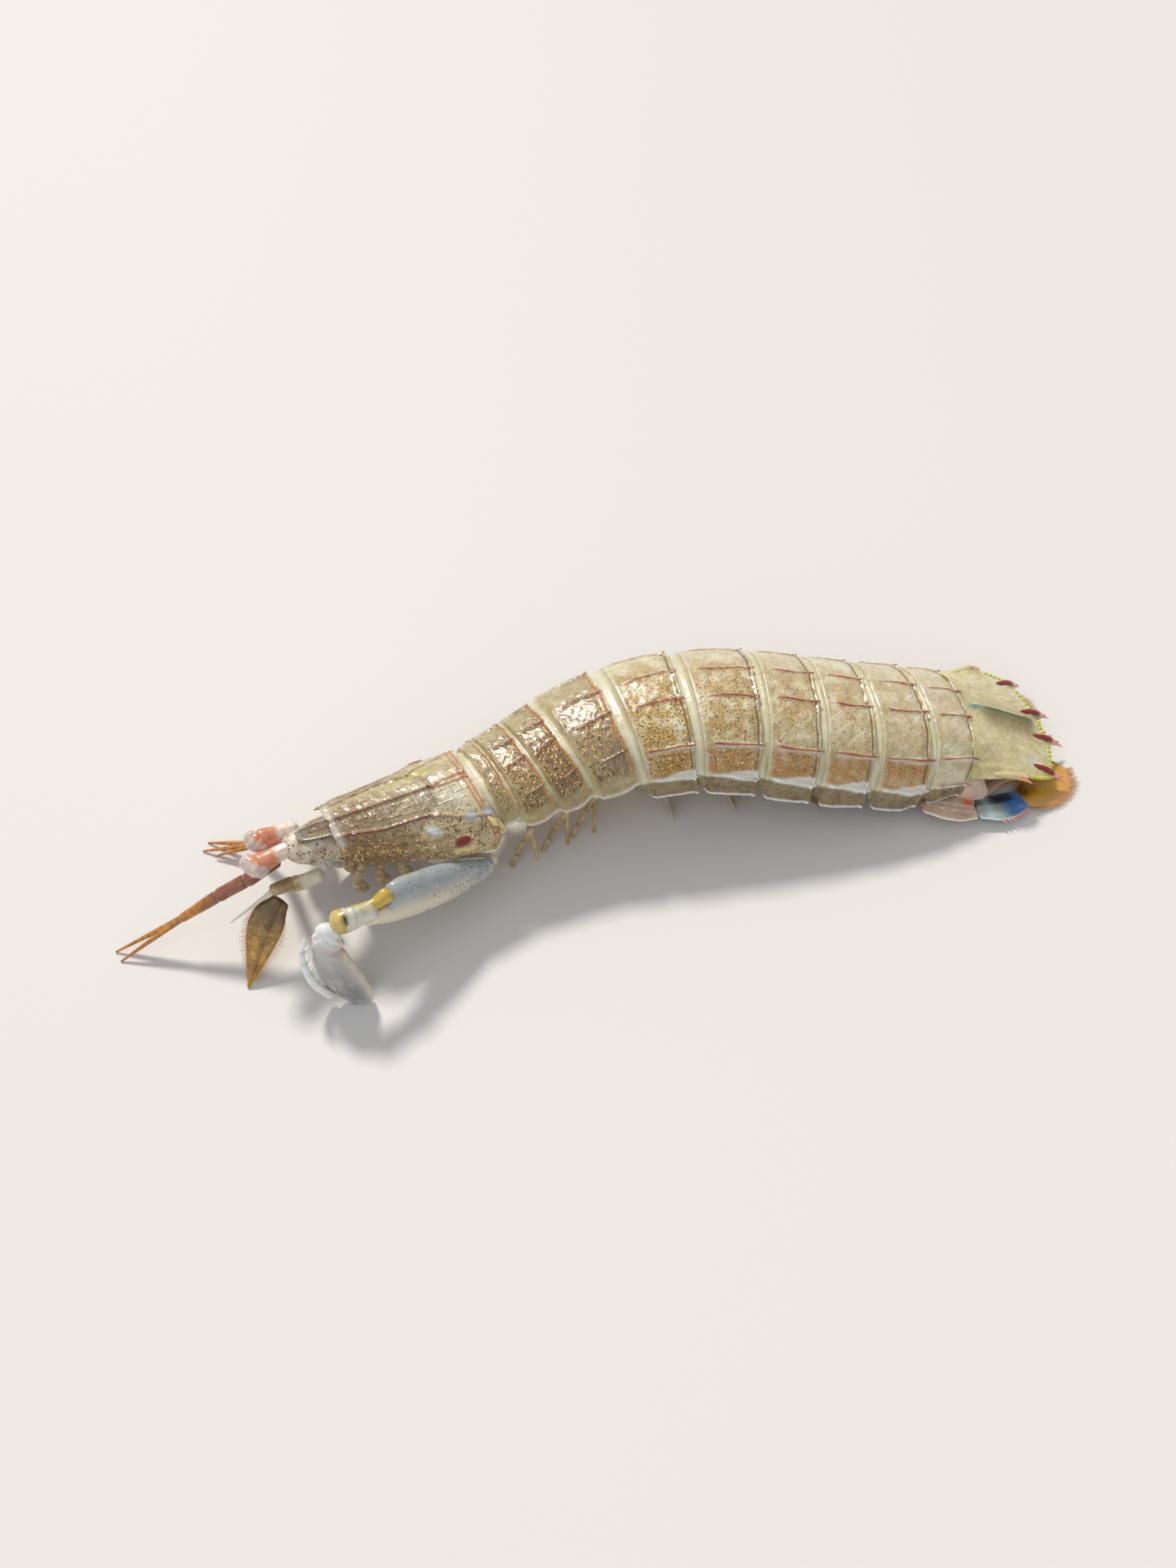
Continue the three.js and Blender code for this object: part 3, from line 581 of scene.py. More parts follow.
def make_piece(name: str, surface: Surface, finish: "Shell", replaced: Sequence[str] = (),
               each: bool = False) -> None:
    """Make a Blender object from a surface, dress it and fix it to the model.

    Args:
        name: of the piece.
        surface: its shape and masks.
        finish: what it is made of.
        replaced: nodes that it stands for.
        each: whether the surface is many small solids, whose faces already point outwards.
    """
    points = surface.points - CENTRE
    points[:, 2] = np.maximum(points[:, 2], 0)
    faces = surface.faces if each else outward_faces(points, surface.faces)
    polygons = [list(dict.fromkeys(face)) for face in faces.tolist()]
    mesh = bpy.data.meshes.new(name)
    mesh.from_pydata((points * MM).tolist(), [], polygons)
    for mask, values in surface.masks.items():
        attribute = mesh.attributes.new(mask, "FLOAT", "POINT")
        attribute.data.foreach_set("value", np.asarray(values, np.float32))
    mesh.validate()
    mesh.shade_smooth()
    if "root" in surface.masks:
        place_tufts(mesh)
    mesh.materials.append(finish.material())
    piece = bpy.data.objects.new(name, mesh)
    bpy.context.scene.collection.objects.link(piece)
    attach(piece, "root")
    finish.slot
    if replaced:
        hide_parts(*replaced)
    LOG.info("%s: %d points, %d faces", name, len(mesh.vertices), len(mesh.polygons))


def place_tufts(mesh: bpy.types.Mesh) -> None:
    """Give each hair a small patch of its own on an unwrap, at its root's place.

    Args:
        mesh: the hairs, with the attribute root.
    """
    patch, margin, golden = 0.003, 0.02, 0.61803
    roots = np.zeros(len(mesh.vertices))
    mesh.attributes["root"].data.foreach_get("value", roots)
    corners = np.zeros(len(mesh.loops), int)
    mesh.loops.foreach_get("vertex_index", corners)
    hair, local = np.divmod(corners, HAIR_POINTS)
    u = (roots[corners] * 0.98 + 0.005 + patch * (local % 3) / 3) % 1
    v = margin + (1 - 2 * margin) * ((hair * golden) % 1) + patch * (local // 3) / 3
    places = np.stack([u, np.minimum(v, 0.999)], -1)
    mesh.uv_layers.new(name="OFBake").data.foreach_set("uv", places.ravel())


def add_node(tree: bpy.types.NodeTree, kind: str, sockets: dict[str | int, Any] | None = None,
             **settings: Any) -> bpy.types.Node:
    """Add a node with its settings and its links.

    Args:
        tree: node tree of the material.
        kind: Blender's name for the node.
        sockets: for each input, a value or the output that feeds it.
        settings: the node's own properties.

    Returns:
        The new node.
    """
    node = tree.nodes.new(kind)
    for key, value in settings.items():
        setattr(node, key, value)
    for key, value in (sockets or {}).items():
        if isinstance(value, bpy.types.NodeSocket):
            tree.links.new(value, node.inputs[key])
        else:
            node.inputs[key].default_value = value
    return node


@dataclass(frozen=True)
class Dots:
    """Scattered round flecks, the colour cells in the skin under clear chitin; the off-white ones of colour
    #fbf1cf are painted sparkle highlights.

    Real ones are 0.05 to 0.2 mm wide and as far apart. They would blur into one tone in the render, so they
    are drawn about three times as coarse.

    Attributes:
        spacing: between neighbouring places for a fleck.
        size: radius of a fleck as a share of the spacing.
        share: how many of the places hold one.
    """

    spacing: float
    size: float
    share: float


@dataclass(frozen=True)
class Layer:
    """One colour over what is below it.

    Attributes:
        colour: sRGB hex.
        mask: name of the mask that says where it lies, or nothing for everywhere.
        amount: how much it covers.
        patch: size of the patches that break it up, or 0.
        low: value of the noise below which the patches stay bare.
        dots: flecks that it is drawn in, or nothing for a plain coat.
        softness: how far the noise rises from a patch's edge to its middle.
    """

    colour: str
    mask: str = ""
    amount: float = 1.0
    patch: float = 0.0
    low: float = 0.35
    dots: Dots | None = None
    softness: float = 0.22

    def cover(self, tree: bpy.types.NodeTree, place: bpy.types.NodeSocket) -> bpy.types.NodeSocket | float:
        """How much of the layer shows at each place.

        Args:
            tree: node tree of the material.
            place: output with the places on the object.

        Returns:
            Output with the share that shows, or one number where it is the same all over.
        """
        factors = []
        if self.mask:
            factors.append(add_node(tree, "ShaderNodeAttribute", attribute_name=self.mask).outputs["Fac"])
        if self.patch:
            noise = add_node(tree, "ShaderNodeTexNoise", {
                "Vector": place, "Scale": 1 / (self.patch * MM), "Detail": 3.0, "Roughness": 0.6})
            factors.append(add_node(tree, "ShaderNodeMapRange", {
                "Value": noise.outputs["Fac"], "From Min": self.low, "From Max": self.low + self.softness,
                "To Min": 0.0, "To Max": 1.0}).outputs["Result"])
        if self.dots:
            factors.append(self.flecks(tree, place, factors[0] if self.mask else 1.0))
        result = self.amount
        for factor in factors:
            result = add_node(tree, "ShaderNodeMath", {0: factor, 1: result}, operation="MULTIPLY",
                              use_clamp=True).outputs[0]
        return result

    def flecks(self, tree: bpy.types.NodeTree, place: bpy.types.NodeSocket,
               density: bpy.types.NodeSocket | float) -> bpy.types.NodeSocket:
        """Where the flecks lie.

        Args:
            tree: node tree of the material.
            place: output with the places on the object.
            density: how crowded they are, from 0 to 1.

        Returns:
            Output that is 1 in a fleck and 0 outside.
        """
        spacing, size = self.dots.spacing * MM, self.dots.size
        stir = add_node(tree, "ShaderNodeTexNoise", {"Vector": place, "Scale": 1.2 / spacing})
        bent = add_node(tree, "ShaderNodeVectorMath", {
            0: stir.outputs["Color"], 1: (0.55 * spacing,) * 3, 2: place}, operation="MULTIPLY_ADD")
        cells = add_node(tree, "ShaderNodeTexVoronoi", {
            "Vector": bent.outputs[0], "Scale": 1 / spacing, "Randomness": 1.0})
        inside = add_node(tree, "ShaderNodeMapRange", {
            "Value": cells.outputs["Distance"], "From Min": size, "From Max": size * 0.6,
            "To Min": 0.0, "To Max": 1.0}).outputs["Result"]
        chance = add_node(tree, "ShaderNodeSeparateColor", {0: cells.outputs["Color"]}).outputs[0]
        share = add_node(tree, "ShaderNodeMath", {0: density, 1: self.dots.share}, operation="MULTIPLY")
        chosen = add_node(tree, "ShaderNodeMath", {0: chance, 1: share.outputs[0]}, operation="LESS_THAN")
        shown = add_node(tree, "ShaderNodeMath", {0: inside, 1: chosen.outputs[0]}, operation="MULTIPLY")
        return shown.outputs[0]


@dataclass(frozen=True)
class Finish:
    """What a piece is made of and how its surface looks.

    Attributes:
        name: of the real material.
        slot: name of its material slot.
        colour: sRGB hex of the bare material.
        layers: colours laid over it, in order.
        roughness: of the bare surface.
        wet: share of a clear film of water over it.
        glow: share of the light that passes under the surface before it comes out.
        depth: how far that light travels.
        grain: size of the fine relief.
        relief: height of the fine relief.
        ripple: height of the broad relief, which breaks up the shine of the water film.
        swell: size of the broad relief.
        smear: size of the duller and shinier places.
    """

    name: str
    slot: str
    colour: str
    layers: tuple[Layer, ...]
    roughness: float = 0.35
    wet: float = 0.7
    glow: float = 0.3
    depth: float = 1.0
    grain: float = 0.35
    relief: float = 0.02
    ripple: float = 0.2
    swell: float = 1.6
    smear: float = 2.4

    @cache
    def material(self) -> bpy.types.Material:
        """The Blender material, made on first use.

        Returns:
            The material, with its colour layers, its relief and its film of water.
        """
        material = bpy.data.materials.new(self.name)
        material.use_nodes = True
        tree = material.node_tree
        tree.nodes.clear()
        place = add_node(tree, "ShaderNodeTexCoord").outputs["Object"]
        colour = linear(self.colour)
        for layer in self.layers:
            mix = add_node(tree, "ShaderNodeMix", {
                0: layer.cover(tree, place), 6: colour, 7: linear(layer.colour)}, data_type="RGBA")
            colour = mix.outputs[2]
        noises = (
            (self.grain, {"Detail": 4.0, "Roughness": 0.65}),
            (self.swell, {"Detail": 1.0}),
            (self.smear, {"Detail": 2.0}),
        )
        fine, broad, dull = (
            add_node(tree, "ShaderNodeTexNoise", {"Vector": place, "Scale": 1 / (size * MM), **more})
            for size, more in noises
        )
        swell = add_node(tree, "ShaderNodeBump", {
            "Height": broad.outputs["Fac"], "Strength": 0.9, "Distance": self.ripple * MM})
        bump = add_node(tree, "ShaderNodeBump", {
            "Height": fine.outputs["Fac"], "Strength": 0.8, "Distance": self.relief * MM,
            "Normal": swell.outputs["Normal"]})
        rough = add_node(tree, "ShaderNodeMapRange", {
            "Value": dull.outputs["Fac"], "From Min": 0.3, "From Max": 0.7,
            "To Min": self.roughness * 0.7, "To Max": self.roughness * 1.35})
        shader = add_node(tree, "ShaderNodeBsdfPrincipled", {
            "Base Color": colour,
            "Roughness": rough.outputs["Result"],
            "IOR": CHITIN_IOR,
            "Normal": bump.outputs["Normal"],
            "Subsurface Weight": self.glow,
            "Subsurface Radius": GLOW_REACH,
            "Subsurface Scale": self.depth * MM,
            "Coat Weight": self.wet,
            "Coat Roughness": WATER_ROUGHNESS,
            "Coat Normal": bump.outputs["Normal"],
            "Coat IOR": WATER_IOR,
        })
        add_node(tree, "ShaderNodeOutputMaterial", {"Surface": shader.outputs[0]})
        return material

    def __hash__(self) -> int:
        """Hash by name, so that a finish is made once."""
        return hash(self.name)


class Shell(Enum):
    """The finishes of the animal: thin chitin in which light glows, under a shining film of water."""

    # Calcified chitin of the front body: olive cream, crowded with brown and golden colour cells
    FRONT = Finish("carapace_chitin", "shell", "#c4b58c", (
        Layer("#8a7858", patch=3.4, low=0.44, amount=0.65),
        Layer("#e3dabd", patch=1.3, low=0.5, amount=0.65),
        Layer("#84796a", "grey", 0.8, patch=3.0, low=0.2),
        # band: pale bands; on the shield it also holds a pale patch of painted sheen round the rear glint
        Layer("#e2dfc8", "band", 0.7),
        Layer("#a7a552", "olive", 0.75),
        Layer("#74502a", "bronze", 0.85, patch=3.0, low=0.18),
        # dark: darker towards the sides of the shield and the lobes, and painted shade in the shield's side
        # hollows
        Layer("#7c5d31", "dark", 0.8, patch=2.4, low=0.25),
        Layer("#5d3c18", "speck", 0.9, dots=Dots(0.5, 0.46, 0.8)),
        Layer("#e7c566", "speck", 0.95, dots=Dots(0.4, 0.42, 0.6)),
        Layer("#2c1a0c", "speck", 0.95, dots=Dots(0.62, 0.26, 0.55)),
        # Off-white flecks: painted sparkle highlights of the wet shell
        Layer("#fbf1cf", "speck", 0.95, dots=Dots(0.7, 0.2, 0.5)),
        Layer("#d3cf8c", "lime", 0.7),
        Layer("#b96f33", "margin", 0.9),
        Layer("#6a1d0c", "keel", 0.97),
        # blue: bluish spots on the shield; the one under the first glint is a painted bluish glare
        Layer("#a9bcc6", "blue", 0.85),
        # white: pale edges and rims, and the shield's glints, which are painted highlights
        Layer("#f0f1e6", "white", 0.8),
        Layer("#7c1406", "rust", 0.97),
        Layer("#ecd78e", "cream", 0.9),
    ), wet=0.85, glow=0.2, depth=0.4, relief=0.04)
    # Thin chitin of the abdomen: pale green cream, with red-brown keels and an amber flank
    ABDOMEN = Finish("abdomen_chitin", "abdomen_shell", "#dad3b5", (
        Layer("#c4b588", patch=4.0, low=0.42, amount=0.65),
        Layer("#e8e6d6", patch=1.8, low=0.48, amount=0.6),
        Layer("#c9c6a2", "olive", 0.5, patch=3.0, low=0.3),
        Layer("#a8661a", "flank", 0.97),
        Layer("#bd8434", "flank", 0.5, patch=1.8, low=0.5),
        # pleuron: the side flaps' own olive brown, deepened in part as painted shade
        Layer("#7b693e", "pleuron", 0.9),
        Layer("#54351a", "pleuron", 0.7, patch=1.8, low=0.46),
        Layer("#97804e", "pleuron", 0.6, patch=1.2, low=0.52),
        Layer("#d6d3ba", "band", 0.6),
        Layer("#a37c34", "speck", 0.85, patch=2.2, low=0.34),
        Layer("#6f4d1c", "speck", 0.9, dots=Dots(0.42, 0.42, 1.0)),
        Layer("#e8c765", "speck", 0.9, dots=Dots(0.36, 0.42, 0.75)),
        # Off-white flecks: painted sparkle highlights of the wet shell
        Layer("#fbf1cf", "speck", 0.95, dots=Dots(0.7, 0.2, 0.6)),
        Layer("#3c240f", "flank", 0.92, dots=Dots(0.62, 0.24, 0.5)),
        Layer("#30200f", "speck", 0.92, dots=Dots(0.62, 0.22, 0.6)),
        Layer("#4a2410", "pleuron", 0.9, dots=Dots(0.5, 0.34, 0.7)),
        Layer("#c2bd6c", "lime", 0.75),
        Layer("#5f4a22", "margin", 0.92),
        Layer("#8c1c0a", "keel", 0.97),
        # white: pale flap rims, and painted highlights: the lines under the keels and the band along the
        # side keel
        Layer("#eef4f2", "white", 0.92),
    ), wet=0.9, glow=0.22, depth=0.4, relief=0.03)
    # Soft skin between the plates and on the head, pink and a little clear, with brown colour cells and
    # painted shade in the creases between the rings
    SKIN = Finish("soft_cuticle", "underbody", "#bea384", (
        Layer("#a0745a", patch=3.0, low=0.4, amount=0.7),
        Layer("#d8c7a6", patch=1.5, low=0.5, amount=0.6),
        Layer("#cfc8b8", "pale", 0.85),
        Layer("#8d6a4a", "pale", 0.75, patch=1.2, low=0.45),
        Layer("#6d3f1d", "pale", 0.9, dots=Dots(0.6, 0.36, 0.8)),
        Layer("#e2b75c", "pale", 0.9, dots=Dots(0.5, 0.32, 0.7)),
        # crease: painted shade in the folds between the rings
        Layer("#8a5a3e", "crease", 0.6),
    ), roughness=0.4, glow=0.22, depth=0.5, relief=0.08)
    # Limb chitin, thin, olive and amber
    LIMB = Finish("limb_chitin", "limb_shell", "#b59c68", (
        Layer("#836c33", patch=2.2, low=0.42, amount=0.7),
        Layer("#dccda6", patch=1.0, low=0.5, amount=0.6),
        Layer("#5d4420", patch=1.4, low=0.6, amount=0.7),
        Layer("#ddd9cc", "pale", 0.9),
        Layer("#7f6130", "knuckle", 0.7),
    ), glow=0.25, depth=0.5)
    # Claw chitin, thick and milky like porcelain, blue above and cream below
    CLAW = Finish("claw_chitin", "claw_shell", "#bcbab3", (
        Layer("#a3a49f", patch=3.0, low=0.4, amount=0.7),
        Layer("#9ca7a8", "blue", 0.8),
        Layer("#e3d8b8", "cream", 0.85),
        Layer("#3f4346", "blue", 0.9, dots=Dots(0.42, 0.26, 0.6)),
        Layer("#6a4a26", "speck", 0.9, dots=Dots(0.5, 0.34, 0.5)),
        Layer("#e9dcaa", "speck", 0.85, dots=Dots(0.42, 0.34, 0.45)),
        Layer("#c79a88", "pink", 0.6, patch=1.2, low=0.35),
        Layer("#77767a", "shade", 0.75, patch=3.0, low=0.25),
        Layer("#f1f3f0", "white", 0.9),
        Layer("#8b6b3c", "rust", 0.8),
    ), roughness=0.28, wet=0.85, glow=0.35, depth=0.9, relief=0.012)
    # Soft yellow joint of the claw
    JOINT = Finish("joint_cuticle", "claw_joint", "#c9b04a", (
        Layer("#a98a24", patch=1.0, low=0.5, amount=0.6),
        Layer("#d9d8cc", "pale", 0.92),
        Layer("#9fa4a0", "pale", 0.6, patch=1.4, low=0.5),
        Layer("#b98a22", "dark", 0.85),
        Layer("#2d1608", "spot", 0.98),
    ), glow=0.3, depth=0.6, wet=0.85, relief=0.02)
    # Clear stalk of the eye with an orange core
    STALK = Finish("eyestalk_cuticle", "eyestalk_shell", "#d9b7a2", (
        Layer("#d5835c", "core", 0.85),
        Layer("#b9623c", "core", 0.6, patch=0.9, low=0.45),
        Layer("#efe6dc", "pale", 0.7, patch=1.2, low=0.3),
    ), glow=0.35, depth=0.6, wet=0.9)
    # Cornea: glassy facets, orange inside under a milky cap
    CORNEA = Finish("cornea", "cornea", "#d5794a", (
        Layer("#b9532a", patch=0.7, low=0.42, amount=0.6),
        Layer("#e8a06c", "glow", 0.8),
        Layer("#d0c0b4", "cap", 0.97),
        Layer("#9c8376", "cap", 0.5, patch=1.0, low=0.45),
    ), roughness=0.1, wet=1.0, glow=0.2, depth=0.4, grain=0.12, relief=0.008, ripple=0)
    # Feeler stem, wine brown, and its amber whips
    FEELER = Finish("feeler_chitin", "feeler", "#8f5638", (
        Layer("#6e3a24", patch=1.4, low=0.4, amount=0.7),
        Layer("#b98058", "edge", 0.6),
        Layer("#5d2c1e", "stripe", 0.7),
        Layer("#b06f22", "tip", 0.95),
        Layer("#d99a34", "tip", 0.8, patch=0.8, low=0.42),
        Layer("#4a241a", "knuckle", 0.6),
    ), glow=0.2, depth=0.5, wet=0.8)
    # Horny leaf of the second feeler, mustard brown, with painted shade darkening its root end
    LEAF = Finish("leaf_chitin", "antennal_scale", "#b4841c", (
        Layer("#6b4710", patch=1.2, low=0.42, amount=0.7),
        Layer("#d0a83a", patch=0.8, low=0.52, amount=0.85),
        Layer("#3a240a", patch=0.6, low=0.62, amount=0.8),
        Layer("#b07a3a", "edge", 0.6),
        Layer("#5a3a10", "vein", 0.5),
        # root: painted shade over the leaf's root end, near the head
        Layer("#43300f", "root", 0.75, patch=1.5, low=0.2),
    ), glow=0.3, depth=0.5, wet=0.7)
    # Hard tail plate, straw green, with wine-red teeth and pink points, and painted shade along its crest
    # and in its pits
    TAIL = Finish("telson_chitin", "tail_shell", "#d1c795", (
        Layer("#bca873", patch=4.0, low=0.42, amount=0.6),
        Layer("#e2dcc0", patch=1.5, low=0.5, amount=0.6),
        # dark: brown beside the crest, a faint tint on both sides and, much stronger on its left, the
        # crest's painted shade
        Layer("#7f6a34", "dark", 0.8),
        # pit: painted shade darkening the pits
        Layer("#93793c", "pit", 0.8),
        Layer("#7d6228", "speck", 0.85, dots=Dots(0.5, 0.3, 0.5)),
        Layer("#e6d79a", "speck", 0.85, dots=Dots(0.42, 0.32, 0.4)),
        Layer("#ccd03c", "lime", 0.95),
        # crest: olive line along the crest, its painted shadow line
        Layer("#4d5a28", "crest", 0.9),
        Layer("#3f7f84", "teal", 0.9),
        Layer("#86120a", "wine", 0.98),
        Layer("#f09a7c", "pink", 0.97),
        Layer("#cfe0dc", "ice", 0.8),
    ), wet=0.85, glow=0.2, depth=0.5, roughness=0.3, relief=0.012)
    # Tail fan: pink clear stem, blue patch, amber paddle
    FAN = Finish("fan_chitin", "tail_fan", "#cba88c", (
        Layer("#9c7d60", patch=2.0, low=0.42, amount=0.6),
        Layer("#e3d8c4", patch=1.0, low=0.52, amount=0.6),
        Layer("#c99a24", "amber", 0.97),
        Layer("#9a6210", "amber", 0.7, patch=1.8, low=0.5),
        Layer("#4f2c08", "umber", 0.9, patch=1.4, low=0.2),
        Layer("#cf9a52", "peach", 0.8),
        Layer("#8fa59c", "teal", 0.9),
        Layer("#2f6cae", "blue", 0.97),
        Layer("#7fb4dc", "blue", 0.6, patch=1.2, low=0.55),
        Layer("#0c1c30", "navy", 0.95),
        Layer("#d6e6ea", "ice", 0.9),
        Layer("#de5c1c", "rust", 0.95),
        Layer("#e79a86", "pink", 0.9),
        # white: painted highlights on the stem, and a paler top on its root
        Layer("#f2efe4", "white", 0.9),
    ), wet=0.9, glow=0.2, depth=0.5)
    # Fringe hair, feathery and orange at the root
    HAIR = Finish("fringe_hair", "tail_fan", "#c9853c", (
        Layer("#e0c08a", "along", 0.85),
    ), roughness=0.5, wet=0.2, glow=0.1)
    # Pale fringe hair of the swimming limbs
    PALE_HAIR = Finish("pale_fringe_hair", "limb_shell", "#b89b62", (
        Layer("#e6dcc3", "along", 0.85),
    ), roughness=0.5, wet=0.2, glow=0.1)

    def material(self) -> bpy.types.Material:
        """The Blender material of this finish."""
        return self.value.material()

    @property
    def slot(self) -> str:
        """The material slot of this finish."""
        return self.value.slot


@dataclass(frozen=True)
class Keel:
    """A raised line along a plate.

    Attributes:
        front: place across the plate where it begins, 0 in the middle and 1 at the lower edge.
        rear: place across where it ends.
        start: part of the plate's length where it begins.
        height: of the raised line.
        spine: how far its end stands out past the plate's edge.
        red: how strongly it is coloured.
        white: how strong the painted highlight line below it is.
    """

    front: float
    rear: float
    start: float
    height: float = 0.3
    spine: float = 0.0
    red: float = 1.0
    white: float = 0.0


@dataclass(frozen=True)
class BackPlate:
    """One ring's plate, arched over the body from flap to flap.

    Attributes:
        node: name of the ring.
        front: place along the back where the ring begins.
        rear: place where it ends.
        keels: raised lines of one side; the other side is alike.
        finish: what it is made of.
        band: part of its length that slides under the plate in front.
        reach: how far round the plate goes, 1 at the lower edge of the body.
        speck: how crowded its colour flecks are.
        lobe: whether its flap is a rounded lobe, as on the free rings of the front body.
        bronze: how strongly it is tinted golden brown.
        thickness: of the plate away from its edges.
        hooked: whether a pale spine lies at each side.
        amber: how strong the amber patch of its flank is, and the painted highlight along its side keel.
    """

    node: str
    front: float
    rear: float
    keels: tuple[Keel, ...]
    finish: Shell
    band: float = 0.27
    reach: float = 1.0
    speck: float = 0.5
    lobe: bool = False
    bronze: float = 0.0
    thickness: float = 0.42
    hooked: bool = False
    amber: float = 1.0

    def columns(self) -> Array:
        """Places across the plate, closer together at the keels.

        Returns:
            Places from -1 to 1, in order.
        """
        places = list(np.linspace(-1, 1, 171))
        for keel in self.keels:
            for middle in np.linspace(keel.front, keel.rear, 3):
                places += [s * (middle + d) for s in (-1, 1) for d in np.linspace(-0.02, 0.02, 9)]
        return np.unique(np.round(np.clip(places, -1, 1), 4))

    def rows(self) -> Array:
        """Places along the plate, closer at the step behind its hidden band and at its rear edge."""
        step = np.linspace(self.band - 0.03, self.band + 0.06, 8)
        return np.unique(np.concatenate([np.linspace(-0.08, 1, 50), step, np.linspace(0.9, 1, 14)]))

    def along(self, s: Array, t: Array) -> Array:
        """Where each point of the plate lies along the back.

        Args:
            s: part of the plate's length.
            t: place across it, from -1 to 1.

        Returns:
            Places along the back, with a ragged rear edge, its spines and rounded corners.
        """
        across = np.abs(t)
        lip = 0.45 + sum(keel.spine * hump(across, keel.rear, 0.016) for keel in self.keels)
        corner = 0 if self.lobe else rise(across, 0.8, 1)
        ragged = 0.12 * np.sin(9 * t + self.front) + 0.08 * np.sin(23 * t + 2 * self.front)
        at = self.front + (self.rear - self.front) * s + rise(s, 0.86, 1.0) * (lip + ragged)
        return at + 0.5 * corner * rise(s, 0.2, 1) + 2.6 * corner**2 * np.clip(1 - s, 0, 1.08) ** 3

    def keel_lines(self, s: Array, t: Array, arc: Array) -> tuple[Array, Array, Array]:
        """Relief and colours of the keels.

        Args:
            s: part of the plate's length.
            t: place across it, from -1 to 1.
            arc: length round the plate from the middle to its edge.

        Returns:
            The height they add, their red mask and the mask of the painted highlight lines below them.
        """
        across = np.abs(t)
        height, red, white = np.zeros_like(s), np.zeros_like(s), np.zeros_like(s)
        for keel in self.keels:
            waved = 0.005 * np.sin(8 * s + self.front * t)
            middle = keel.front + (keel.rear - keel.front) * np.clip(s, 0, 1) + waved
            shown = rise(s, keel.start - 0.03, keel.start + 0.12)
            height = height + keel.height * shown * hump(across, middle, 0.3 / arc) * (0.6 + 0.4 * s)
            red = np.maximum(red, keel.red * shown * hump(across, middle, 0.16 / arc))
            # A painted highlight line runs just below each keel
            white = np.maximum(white, keel.white * shown * hump(across, middle + 0.42 / arc, 0.3 / arc))
        return height, red, white

    def colours(self, s: Array, t: Array, outside: Array) -> dict[str, Array]:
        """Masks of the plate's colours, apart from its keels.

        Args:
            s: part of the plate's length.
            t: place across it, from -1 to 1.
            outside: places of its points.

        Returns:
            The masks by name.
        """
        across = np.abs(t)
        lobe, belt = float(self.lobe), 1 - float(self.lobe)
        plate = rise(s, self.band, self.band + 0.08)
        flank = rise(across, 0.5, 0.545) * rise(across, 0.83, 0.765) * rise(s, self.band, self.band + 0.2)
        # A painted highlight along the side keel, widening towards the rear
        low_edge = across + 0.045 * rise(s, 0.35, 1.0)
        side_keel_highlight = rise(low_edge, 0.785, 0.812) * rise(across, 0.82, 0.81) * rise(s, 0.3, 0.6)
        rim = 0.85 * rise(across, 0.975, 0.995) * belt + 0.5 * lobe * rise(across, 0.93, 0.97)
        grey = lobe * hump(across, 0.55, 0.14) * rise(s, 0.5, 0.75) * (1 if self.front > 33 else 0.3)
        speck = self.speck * rise(s, self.band, self.band + 0.12) * rise(across, 0.86, 0.7)
        margin = hump(s, 0.955, 0.012) * rise(across, 0.95, 0.8) * plate
        margin = margin + 0.5 * hump(s, self.band + 0.03, 0.012) * belt
        green = (0.6 * hump(s, self.band, 0.016) + 0.5 * hump(s, 0.985, 0.016)) * rise(across, 0.95, 0.7)
        return {
            # white: the painted highlight along the side keel, and the real pale rim of the flap
            "white": np.maximum(0.6 * belt * self.amber * side_keel_highlight, rim),
            "band": rise(s, self.band * 0.95, self.band * 0.7) * rise(across, 0.86, 0.8),
            "margin": np.maximum(margin, 0.7 * belt * rise(s, 0.985, 1.0)),
            "lime": green * (0.8 + 0.4 * waver(outside, 2.5, 3)),
            "flank": self.amber * belt * flank * (0.7 + 0.3 * waver(outside, 4.0)),
            # pleuron: the flaps below the side keel, their dark brown partly painted shade
            "pleuron": rise(across, 0.81, 0.84) * belt,
            "speck": np.clip(speck * (0.45 + 0.55 * rise(t, -0.35, 0.05)) * (1 - 0.9 * grey), 0, 1),
            "olive": rise(across, 0.15, 0.5) * (0.3 if self.lobe else 1),
            "grey": grey,
            "bronze": self.bronze * plate * rise(across, 0.86, 0.7) * (0.35 + 0.65 * rise(t, -0.4, 0.1)),
            "dark": rise(across, 0.62, 0.9) * plate * lobe * 0.6,
        }

    def hooks(self) -> list[Surface]:
        """The pale spine at each side, where the plate has them.

        Returns:
            Their surfaces.
        """
        line = ((20.3, 6.7, -2.5), (20.9, 7.3, -3.1), (21.5, 7.9, -4.1), (21.9, 8.3, -5.0))
        return [
            Limb([BACK.beside(at, side.value * left, up) for at, left, up in line], (0.6, 1.2, 0.9, 0.2),
                 (0.5, 0.7, 0.5, 0.15), BACK.axes(21)[0], sides=20, steps=24).surface({"cream": even(1)})
            for side in (Side if self.hooked else ())
        ]

